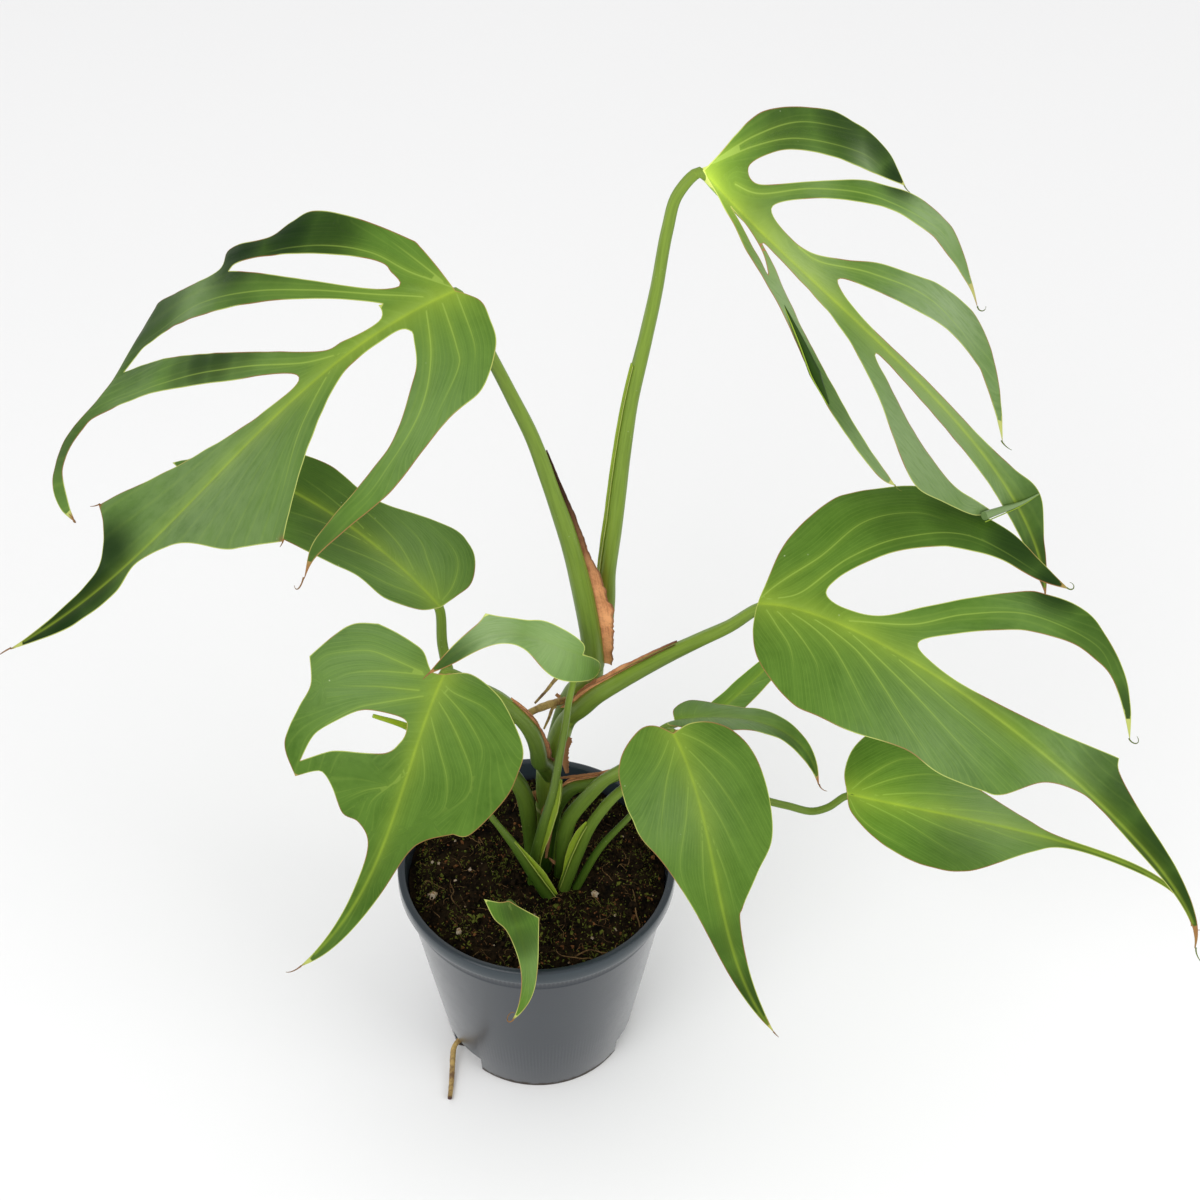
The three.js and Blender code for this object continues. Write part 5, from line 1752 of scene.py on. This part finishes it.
def curled_tip(surface_of, tip):
    """A thin dried end that curls away from a finger's tip."""
    along, across, heading, size, curl = tip
    flat = np.array([[along, across]], float)
    turn = math.radians(heading)
    step = np.array([[math.cos(turn), math.sin(turn)]])
    place = surface_of.at(flat - step)[0]
    direction = unit(surface_of.at(flat)[0] - place)
    normal = surface_of.normals(flat)[0]
    axis = unit(np.cross(direction, normal) + 0.35 * normal)
    count = max(6, round(size * 1.6))
    line = [place]
    spin = Matrix.Rotation(math.radians(curl) / count, 3, Vector(axis))
    for _ in range(count):
        line.append(line[-1] + direction * (size + 1) / count)
        direction = np.array(spin @ Vector(direction))
    return loft(np.array(line), np.linspace(*TIP_RADII, len(line)), 6)


def rolled_margin(surface_of, roll):
    """A stretch of margin that is rolled up into a tube, and the pale edge that lies on the tube."""
    flat = even_steps(smooth_line(roll["line"]), 1.0)
    radii = between(roll["radii"], np.linspace(0, 1, len(flat)))
    normals = surface_of.normals(flat)
    middle = surface_of.at(flat) + normals * (roll.get("lift", 0.6) * radii)[:, None]
    ahead = unit(np.gradient(middle, axis=0))
    side = np.cross(ahead, normals)
    edge = middle + (1.3 * side + 0.3 * normals) * radii[:, None]
    return loft(middle, radii, 10), loft(edge, 0.3 * np.minimum(radii, 1), 5)


def build_blade(key, looks, finish):
    """One blade: the sheet with its relief, and the dried ends."""
    blade = BLADES[key]
    surface_of = BladeSurface(blade)
    spacing = looks.spacing / MM
    loops = [closed_outline(blade["outline"], spacing)]
    loops += [closed_outline(hole, spacing) for hole in blade["holes"]]
    seen = [even_steps(smooth_line(vein), VEIN_STEP) for vein in blade["veins"]]
    veins = seen or grown_veins(surface_of, loops, 6 if surface_of.length < 120 else 8)
    rib = np.array([[along, 0.0] for along in np.arange(0, surface_of.length, 1.0)])
    beside = [rib + [0, across] for across in (-1.1, 1.1, -2.4, 2.4)]
    flat, triangles = filled_outline(loops, [rib, *beside, *veins], spacing)
    facts = blade_notes(flat, surface_of, loops, veins, blade)
    upper, lower = blade_relief(flat, facts, looks, RIB_ROOTS[key], surface_of.length, ord(key))
    places, normals = surface_of.at(flat), surface_of.normals(flat)
    count = len(flat)
    sheet = np.concatenate([places + normals * upper[:, None], places + normals * lower[:, None]])
    faces = triangles.tolist() + (triangles[:, ::-1] + count).tolist()
    faces += [(b, a, a + count, b + count) for a, b in open_edges(triangles)]
    del facts["rib_distance"]
    far = {"tone": blade["tone"], "vein_distance": FAR, "edge_distance": FAR}
    withered = blade["withered"]
    extras = [(curled_tip(surface_of, tip), {**far, "dry": withered, "edge_distance": FAR * withered})
              for tip in blade["tips"]]
    for roll in blade["rolls"]:
        tube, edge = rolled_margin(surface_of, roll)
        extras += [(tube, {**far, **roll["looks"]}), (edge, {**far, "glow": 0.7})]
    all_places, all_faces = join_parts([(sheet, faces), *(shape for shape, _ in extras)])
    piece = mesh_piece(f"blade_{key}", all_places, all_faces, finish)
    for name, values in facts.items():
        kind = "FLOAT_VECTOR" if values.ndim == 2 else "FLOAT"
        fillers = [np.full((len(shape[0]), *values.shape[1:]), float(its.get(name, 0)))
                   for shape, its in extras]
        note(piece, name, np.concatenate([values, values, *fillers]), kind)
    under = np.zeros(len(all_places))
    under[count:2 * count] = 1
    note(piece, "under", under)
    smooth(piece, 50)
    settle(piece, "leaf", f"leaf_{key}")


class MONSTERA_OT_blades(bpy.types.Operator):
    """Builds the eleven leaf blades"""
    bl_idname = "monstera.blades"
    bl_label = "Blades"

    def execute(self, context):
        finish = blade_finish()
        for key in BLADES:
            build_blade(key, context.scene.monstera_blades, finish)
        return {"FINISHED"}


# Stalks, stem and roots

STALK_STEP = 2.2  # mm between the rings of a stalk
BELOW_SOIL = 5.0  # mm that a stalk goes down into the soil
PALE_HEIGHT = 150.0  # mm above the soil where the stalks are at their palest
SPEAR = "spear"
STALK_PIECES = {"spear": "spear_leaf", "stem": "main_stem", "stem_upper": "main_stem_upper"}
PALER_STALKS = {"petiole_a": -0.1, "petiole_c": -0.05, "petiole_d": -0.15,
                "petiole_i": 0.2, "petiole_f": 0.1, "stem": 0.25, "stem_upper": -0.05}


def swept(name, line, radii, level):
    """A closed round tube along a line of places in mm."""
    clear_selection()
    bpy.ops.curve.primitive_nurbs_path_add(location=(0, 0, 0))
    path = bpy.context.object
    shape = path.data
    shape.splines.clear()
    spline = shape.splines.new("POLY")
    spline.points.add(len(line) - 1)
    spline.points.foreach_set("co", np.column_stack([line * MM, np.ones(len(line))]).ravel())
    spline.points.foreach_set("radius", np.asarray(radii, float))
    shape.bevel_depth = MM
    shape.bevel_resolution = level
    shape.use_fill_caps = True
    bpy.ops.object.convert(target="MESH")
    piece = added(name)
    mend(piece, 1e-7)
    return piece


def straight_frame(places, line, away):
    """Each place in the tube's own straight frame: across it, out on its away side, and along it."""
    ahead = unit(np.gradient(line, axis=0))
    out = square_to(np.array(away, float), ahead)
    across = np.cross(ahead, out)
    nearest = np.argmin(np.linalg.norm(places[:, None] - line[None], axis=2), axis=1)
    offset = places - line[nearest]
    along = runs(line)[nearest] + np.sum(offset * ahead[nearest], axis=1)
    straight = np.column_stack([np.sum(offset * across[nearest], axis=1),
                                np.sum(offset * out[nearest], axis=1), along])
    return straight, nearest


def stalk_route(name):
    """A stalk's line and radii, from under the soil to inside its blade's rib."""
    stalk = STALKS[name]
    points = [list(point) for point in stalk["points"]]
    radii = stalk["radii"]
    if "root" in stalk:
        x, y = stalk["root"]
        points.insert(0, [x, y, SOIL_HIGH.z / MM])
    if "blade" in stalk:
        surface_of = BladeSurface(BLADES[stalk["blade"]])
        last = radii[-1]
        for along, depth in ((0.5, 1.25), (7, 0.95)):
            spot = np.array([[along, 0.0]])
            points.append((surface_of.at(spot) - surface_of.normals(spot) * last * depth)[0].tolist())
    line = stalk_line(points, STALK_STEP)
    if "root" in stalk:
        down = line[0] - unit(line[1] - line[0]) * BELOW_SOIL
        line = np.concatenate([[down], line])
    part = np.linspace(0, 1, len(line))
    spread = between(radii, part)
    if "blade" in stalk:
        left = runs(line)[-1] - runs(line)
        spread = spread * np.clip(0.5 + left / 12, 0, 1)
    return line, spread


def stalk_side(name):
    """The side of a stalk that its sheath stands on."""
    for sheath in SHEATHS.values():
        if sheath["stalk"] == name:
            return sheath["away"]
    return [0.3, -0.9, 0.3]


STEM_RINGS = {"stem": (46, 78, 92), "stem_upper": (38, 66)}  # mm along the stem to each leaf scar


def build_stalk(name, finish):
    """A stalk with its channel and fine ribs, or a stem with its leaf scars."""
    line, radii = stalk_route(name)
    piece = swept(STALK_PIECES.get(name, name.replace("petiole", "stalk")), line, radii, 8)
    places = places_of(piece)
    straight, nearest = straight_frame(places, line, stalk_side(name))
    turn = np.arctan2(straight[:, 0], straight[:, 1])
    part = straight[:, 2] / straight[:, 2].max()
    ring = np.column_stack([np.cos(turn) * 1.4, np.sin(turn) * 1.4, straight[:, 2] / 26])
    swell = 0.05 * ripple(ring, 1.0, len(line))
    channel = 0.0 if name.startswith("stem") else 0.16
    groove = -channel * np.exp(-(turn / 0.42)**2) * np.clip(part * 2.2, 0.25, 1)
    scars = np.zeros(len(places))
    for place in STEM_RINGS.get(name, ()):
        wander = place + 1.5 * np.sin(turn + place)
        scars = np.maximum(scars, np.exp(-((straight[:, 2] - wander) / 0.9)**2))
    scale = 1 + swell + groove + 0.05 * scars
    move_to(piece, line[nearest] + (places - line[nearest]) * scale[:, None])
    note(piece, "straight", straight, "FLOAT_VECTOR")
    # Paler with height above the soil: partly the stalks' own colour, partly painted shade low down
    height = (places[:, 2] - SOIL_HIGH.z / MM) / PALE_HEIGHT
    paler = 0.85 * np.clip(height, 0, 1)**1.5 + 0.12 * np.cos(turn) + PALER_STALKS.get(name, 0)
    note(piece, "paleness", np.clip(paler, 0, 1))
    note(piece, "young", np.clip(part * 8 - 6.4, 0, 1) if name == SPEAR else 0 * part)
    note(piece, "scar", scars)
    piece.data.materials.append(finish)
    smooth(piece, 60)
    settle(piece, "stem" if name.startswith("stem") else "stalk", name)


class MONSTERA_OT_stalks(bpy.types.Operator):
    """Builds the stalks, the stem and the rolled spear leaf"""
    bl_idname = "monstera.stalks"
    bl_label = "Stalks and stem"

    def execute(self, context):
        finish = stalk_finish()
        for name in STALKS:
            build_stalk(name, finish)
        return {"FINISHED"}


class MONSTERA_OT_roots(bpy.types.Operator):
    """Builds the aerial roots and the root that has grown out of the pot"""
    bl_idname = "monstera.roots"
    bl_label = "Roots"

    def execute(self, context):
        finish = root_finish()
        for index, (name, root) in enumerate(ROOTS.items()):
            line = stalk_line(root["points"], 1.0)
            part = np.linspace(0, 1, len(line))
            radii = between(root["radii"], part) * (1 + 0.12 * ripple(line, 3.0, index))
            piece = swept(name + "_bark", line, radii, 5)
            places = places_of(piece)
            straight, nearest = straight_frame(places, line, [0.1, -0.3, 0.9])
            rough = 1 + 0.1 * ripple(places, 1.3, index)
            move_to(piece, line[nearest] + (places - line[nearest]) * rough[:, None])
            note(piece, "straight", straight, "FLOAT_VECTOR")
            end = straight[:, 2] / straight[:, 2].max()
            note(piece, "age", np.clip((end - 0.95) * 20, 0, 1) if name == "drain_root" else 0 * end)
            piece.data.materials.append(finish)
            smooth(piece, 60)
            settle(piece, "root", name)
        return {"FINISHED"}


# Sheaths

WING_THICKNESS = 0.28 * MM
STRIP_THICKNESS = 0.25 * MM


def thicken(sheet, thickness, finish):
    """Gives a thin sheet its thickness, its material and smooth shading."""
    apply_modifier(sheet, "SOLIDIFY", thickness=thickness, offset=0)
    sheet.data.materials.append(finish)
    smooth(sheet, 60)


def build_wing(name, sheath, side, finish, seed):
    """One thin wing along a stalk, wavy at its free edge."""
    line, radii = stalk_route(sheath["stalk"])
    size = runs(line)[-1]
    low, high = (part * size for part in sheath["reach"])
    count = max(8, round((high - low) / 1.6))
    levels = 7
    clear_selection()
    bpy.ops.mesh.primitive_grid_add(x_subdivisions=count, y_subdivisions=levels, size=2)
    wing = added(name)
    grid = places_of(wing) * MM
    run = low + (grid[:, 0] + 1) / 2 * (high - low)
    rise = (grid[:, 1] + 1) / 2
    ahead = unit(np.gradient(line, axis=0))
    out = square_to(np.array(sheath["away"], float), ahead)
    across = np.cross(ahead, out)
    at = runs(line)
    centre, out, across = (at_runs(run, at, field) for field in (line, out, across))
    radius = np.interp(run, at, radii)
    part = (run - low) / (high - low)
    height = between(sheath["widths"], part)
    spots = np.column_stack([run, np.full(len(run), 40.0 * side), np.zeros(len(run))])
    wave = ripple(spots, 9.0, seed) * (1 if sheath["dry"] else 0.3)
    ragged = ripple(spots, 2.2, seed + 3)
    height = height * (1 + 0.22 * wave + 0.14 * ragged * sheath["dry"])
    turn = side * math.radians(sheath["spread"]) / 2
    lean = turn + side * 0.55 * rise + 0.25 * wave * rise
    direction = np.cos(lean)[:, None] * out + np.sin(lean)[:, None] * across
    foot = centre + (np.cos(turn) * out + np.sin(turn) * across) * (radius * 0.86)[:, None]
    move_to(wing, foot + direction * (height * rise)[:, None])
    straight = np.column_stack([rise * height, np.full(len(run), side * 3.0), run])
    note(wing, "straight", straight, "FLOAT_VECTOR")
    note(wing, "rise", rise)
    note(wing, "age", between(sheath.get("age", (0,)), part))
    thicken(wing, WING_THICKNESS, finish)
    return wing


# Torn strips of old sheaths: the stalk that each lies on, pixels of the photograph along it, its half
# widths in mm, how dark it is at its ends and how bleached
SHREDS = {
    "node_shred": {"on": "stem", "pixels": [(569, 737), (565, 748), (565, 760), (567, 773)],
                   "widths": [2.2, 3.8, 3.6, 1.8], "age": [0.3, 0, 0, 0.2], "bleach": 0.95},
    "foot_shred": {"on": "petiole_c", "pixels": [(573, 701), (580, 694), (588, 687), (596, 679)],
                   "widths": [1, 2.8, 2.4, 0.8], "age": [0.7, 0.3, 0.4, 0.7], "bleach": 0.1},
    "jagged_shred": {"on": "stem_upper", "pixels": [(556, 694), (563, 700), (571, 702), (578, 696)],
                     "widths": [0.8, 1.8, 1.2, 0.4], "age": [0, 0, 0.2], "bleach": 0.25},
    "hooked_shred": {"on": "stem", "pixels": [(549, 779), (543, 781), (538, 784), (541, 787)],
                     "widths": [0.8, 1.1, 0.9, 0.5], "age": [0.1, 0, 0.4], "bleach": 0},
    "low_shred": {"on": "stem", "pixels": [(534, 791), (538, 799), (541, 807)],
                  "widths": [1.0, 1.6, 0.7], "age": [0.5, 0, 0.4], "bleach": 0.1},
    "rusty_edge": {"on": "petiole_h", "pixels": [(560, 778), (578, 776), (592, 774), (604, 772)],
                   "widths": [0.6, 1.1, 0.9, 0.4], "age": [0.1, 0, 0.1], "bleach": 0},
    "dark_edge": {"on": "petiole_h", "pixels": [(590, 781), (580, 788), (572, 797)],
                  "widths": [0.4, 0.6, 0.4], "age": [0.6, 1, 1], "bleach": 0},
    "dark_shred": {"on": "petiole_g", "pixels": [(560, 799), (554, 814), (550, 834), (546, 858)],
                   "widths": [0.8, 1.5, 1.7, 1.2], "age": [0.9, 0.5, 0.5, 0.8], "bleach": 0},
    "torn_fibre_one": {"on": "petiole_g", "pixels": [(549, 858), (555, 863), (561, 866)],
                       "widths": [0.4, 0.9, 0.3], "age": [0, 0, 0], "bleach": 0.9},
    "torn_fibre_two": {"on": "petiole_g", "pixels": [(557, 856), (556, 864), (559, 872)],
                       "widths": [0.7, 0.6, 0.3], "age": [0, 0, 0.4], "bleach": 0.6},
}


def on_stalk(x, y, name):
    """The place, in mm, on a stalk's near side that a pixel shows, or beside the stalk where it passes."""
    eye, ray = pixel_ray(x, y)
    line, radii = stalk_route(name)
    offset = line - eye
    depth = offset @ ray
    gap = np.linalg.norm(offset - depth[:, None] * ray, axis=1)
    nearest = gap.argmin()
    return eye + ray * (depth[nearest] - math.sqrt(max(radii[nearest]**2 - gap[nearest]**2, 0)) - 0.4)


def build_shred(name, shred, finish, seed):
    """One torn papery strip, with ragged edges that curl away from its stalk."""
    line = even_steps(smooth_line([on_stalk(x, y, shred["on"]) for x, y in shred["pixels"]]), 0.7)
    clear_selection()
    bpy.ops.mesh.primitive_grid_add(x_subdivisions=len(line) - 1, y_subdivisions=5, size=2)
    strip = added(name)
    grid = places_of(strip) * MM
    part, rise = (grid[:, 0] + 1) / 2, grid[:, 1]
    at = np.linspace(0, 1, len(line))
    towards = -pixel_ray(*shred["pixels"][0])[1]
    ahead = unit(np.gradient(line, axis=0))
    side = np.cross(ahead, towards)
    centre, side = (at_runs(part, at, field) for field in (line, side))
    spots = np.column_stack([runs(line)[-1] * part, 3 * np.sign(rise), 0 * part])
    wide = between(shred["widths"], part) * (1 + 0.4 * ripple(spots, 1.4, seed))
    curl = wide * (0.35 * rise**2 + 0.25 * ripple(spots, 4.0, seed + 5) * rise)
    move_to(strip, centre + side * (wide * rise)[:, None] + towards * curl[:, None])
    note(strip, "straight", np.column_stack([wide * rise, 0 * part, spots[:, 0]]), "FLOAT_VECTOR")
    note(strip, "age", between(shred["age"], part))
    note(strip, "bleach", np.full(len(part), shred["bleach"]))
    thicken(strip, STRIP_THICKNESS, finish)
    settle(strip, "dry_sheath")


class MONSTERA_OT_shreds(bpy.types.Operator):
    """Lays the torn strips of old sheaths on the stem and the stalks"""
    bl_idname = "monstera.shreds"
    bl_label = "Torn strips"

    def execute(self, context):
        finish = bpy.data.materials["dry_sheath"]
        for index, (name, shred) in enumerate(SHREDS.items()):
            build_shred(name, shred, finish, 30 + index)
        return {"FINISHED"}


class MONSTERA_OT_sheaths(bpy.types.Operator):
    """Builds the sheaths: papery on the old stalks, green on the young ones"""
    bl_idname = "monstera.sheaths"
    bl_label = "Sheaths"

    def execute(self, context):
        finishes = [sheath_finish(False), sheath_finish(True)]
        for index, (name, sheath) in enumerate(SHEATHS.items()):
            for side, label in ((-1, "left"), (1, "right")):
                wing = build_wing(f"{name}_{label}", sheath, side, finishes[sheath["dry"]], index * 2 + side)
                settle(wing, "dry_sheath" if sheath["dry"] else "young_sheath", name)
        return {"FINISHED"}


# Stage

def camera_frame(looks):
    """The camera's place, in metres, and its directions right, up and ahead."""
    pitch, roll = math.radians(looks.pitch), math.radians(looks.roll)
    ahead = Vector((0, math.cos(pitch), -math.sin(pitch)))
    level = Vector((1, 0, 0))
    upright = level.cross(ahead)
    right = level * math.cos(roll) + upright * math.sin(roll)
    up = upright * math.cos(roll) - level * math.sin(roll)
    eye = Vector((looks.target_x, 0, looks.target_z)) - ahead * looks.distance
    return eye, right, up, ahead


def add_light(name, place, target, side, power):
    """A square soft light that faces a target, in metres and watts."""
    clear_selection()
    bpy.ops.object.light_add(type="AREA", location=place)
    light = added(name)
    light.data.shape = "SQUARE"
    light.data.size = side
    light.data.energy = power
    light.rotation_euler = (Vector(target) - Vector(place)).to_track_quat("-Z", "Y").to_euler()


class MONSTERA_OT_stage(bpy.types.Operator):
    """Sets the floor, the soft light and the camera"""
    bl_idname = "monstera.stage"
    bl_label = "Stage"

    def execute(self, context):
        looks = context.scene.monstera_stage
        clear_selection()
        bpy.ops.mesh.primitive_plane_add(size=12)
        floor = added("floor")
        material, finish = new_material("studio_floor")
        patch = finish.noise(finish.place(), 0.6, 2.0)
        paler = tuple(min(1, value * 1.02) for value in looks.floor)
        surface(finish, finish.blend(patch, looks.floor, paler), 0.7, Specular_IOR_Level=0.2)
        floor.data.materials.append(material)
        world = bpy.data.worlds.new("soft_sky")
        world.use_nodes = True
        background = world.node_tree.nodes["Background"]
        background.inputs["Color"].default_value = (1, 1, 1, 1)
        background.inputs["Strength"].default_value = looks.sky
        context.scene.world = world
        middle = (0, 0, 0.25)
        add_light("window", (-0.9, -1.5, 1.7), middle, 1.4, looks.window)
        add_light("fill", (1.6, -0.9, 1.2), middle, 1.2, looks.fill)
        eye, right, up, ahead = camera_frame(looks)
        clear_selection()
        bpy.ops.object.camera_add(location=eye)
        camera = added("photo_camera")
        camera.rotation_euler = Matrix((right, up, -ahead)).transposed().to_euler()
        camera.data.sensor_width = 36
        camera.data.lens = looks.focal_pixels / PHOTO_SIDE * camera.data.sensor_width
        camera.data.clip_start = 0.05
        camera.data.clip_end = 30
        context.scene.camera = camera
        context.scene.view_settings.view_transform = "Standard"
        return {"FINISHED"}


# The panel and the add-on

STEPS = ("stage", "pot", "soil", "litter", "stalks", "sheaths", "shreds", "roots", "blades")


class MONSTERA_PT_panel(bpy.types.Panel):
    """Lists the pieces and their sizes"""
    bl_idname = "MONSTERA_PT_panel"
    bl_label = "Potted flame monstera"
    bl_space_type = "VIEW_3D"
    bl_region_type = "UI"
    bl_category = "Monstera"

    def draw(self, context):
        for step in STEPS:
            self.layout.operator(f"monstera.{step}")
        for key in GROUPS:
            box = self.layout.box()
            for size in getattr(context.scene, key).bl_rna.properties:
                if size.identifier not in ("rna_type", "name"):
                    box.prop(getattr(context.scene, key), size.identifier)


GROUPS = {
    "monstera_pot": PotSizes,
    "monstera_soil": SoilLooks,
    "monstera_stalks": StalkLooks,
    "monstera_blades": BladeLooks,
    "monstera_stage": StageLooks,
}
CLASSES = (
    *GROUPS.values(),
    MONSTERA_OT_stage,
    MONSTERA_OT_pot,
    MONSTERA_OT_soil,
    MONSTERA_OT_litter,
    MONSTERA_OT_stalks,
    MONSTERA_OT_sheaths,
    MONSTERA_OT_shreds,
    MONSTERA_OT_roots,
    MONSTERA_OT_blades,
    MONSTERA_PT_panel,
)


def register():
    for kind in CLASSES:
        bpy.utils.register_class(kind)
    for key, kind in GROUPS.items():
        setattr(bpy.types.Scene, key, PointerProperty(type=kind))


def unregister():
    for key in GROUPS:
        delattr(bpy.types.Scene, key)
    for kind in reversed(CLASSES):
        bpy.utils.unregister_class(kind)


def main():
    """Builds everything in order."""
    register()
    mottle_group()
    streaks_group()
    specks_group()
    for step in STEPS:
        getattr(bpy.ops.monstera, step)()


if __name__ == "__main__":
    main()
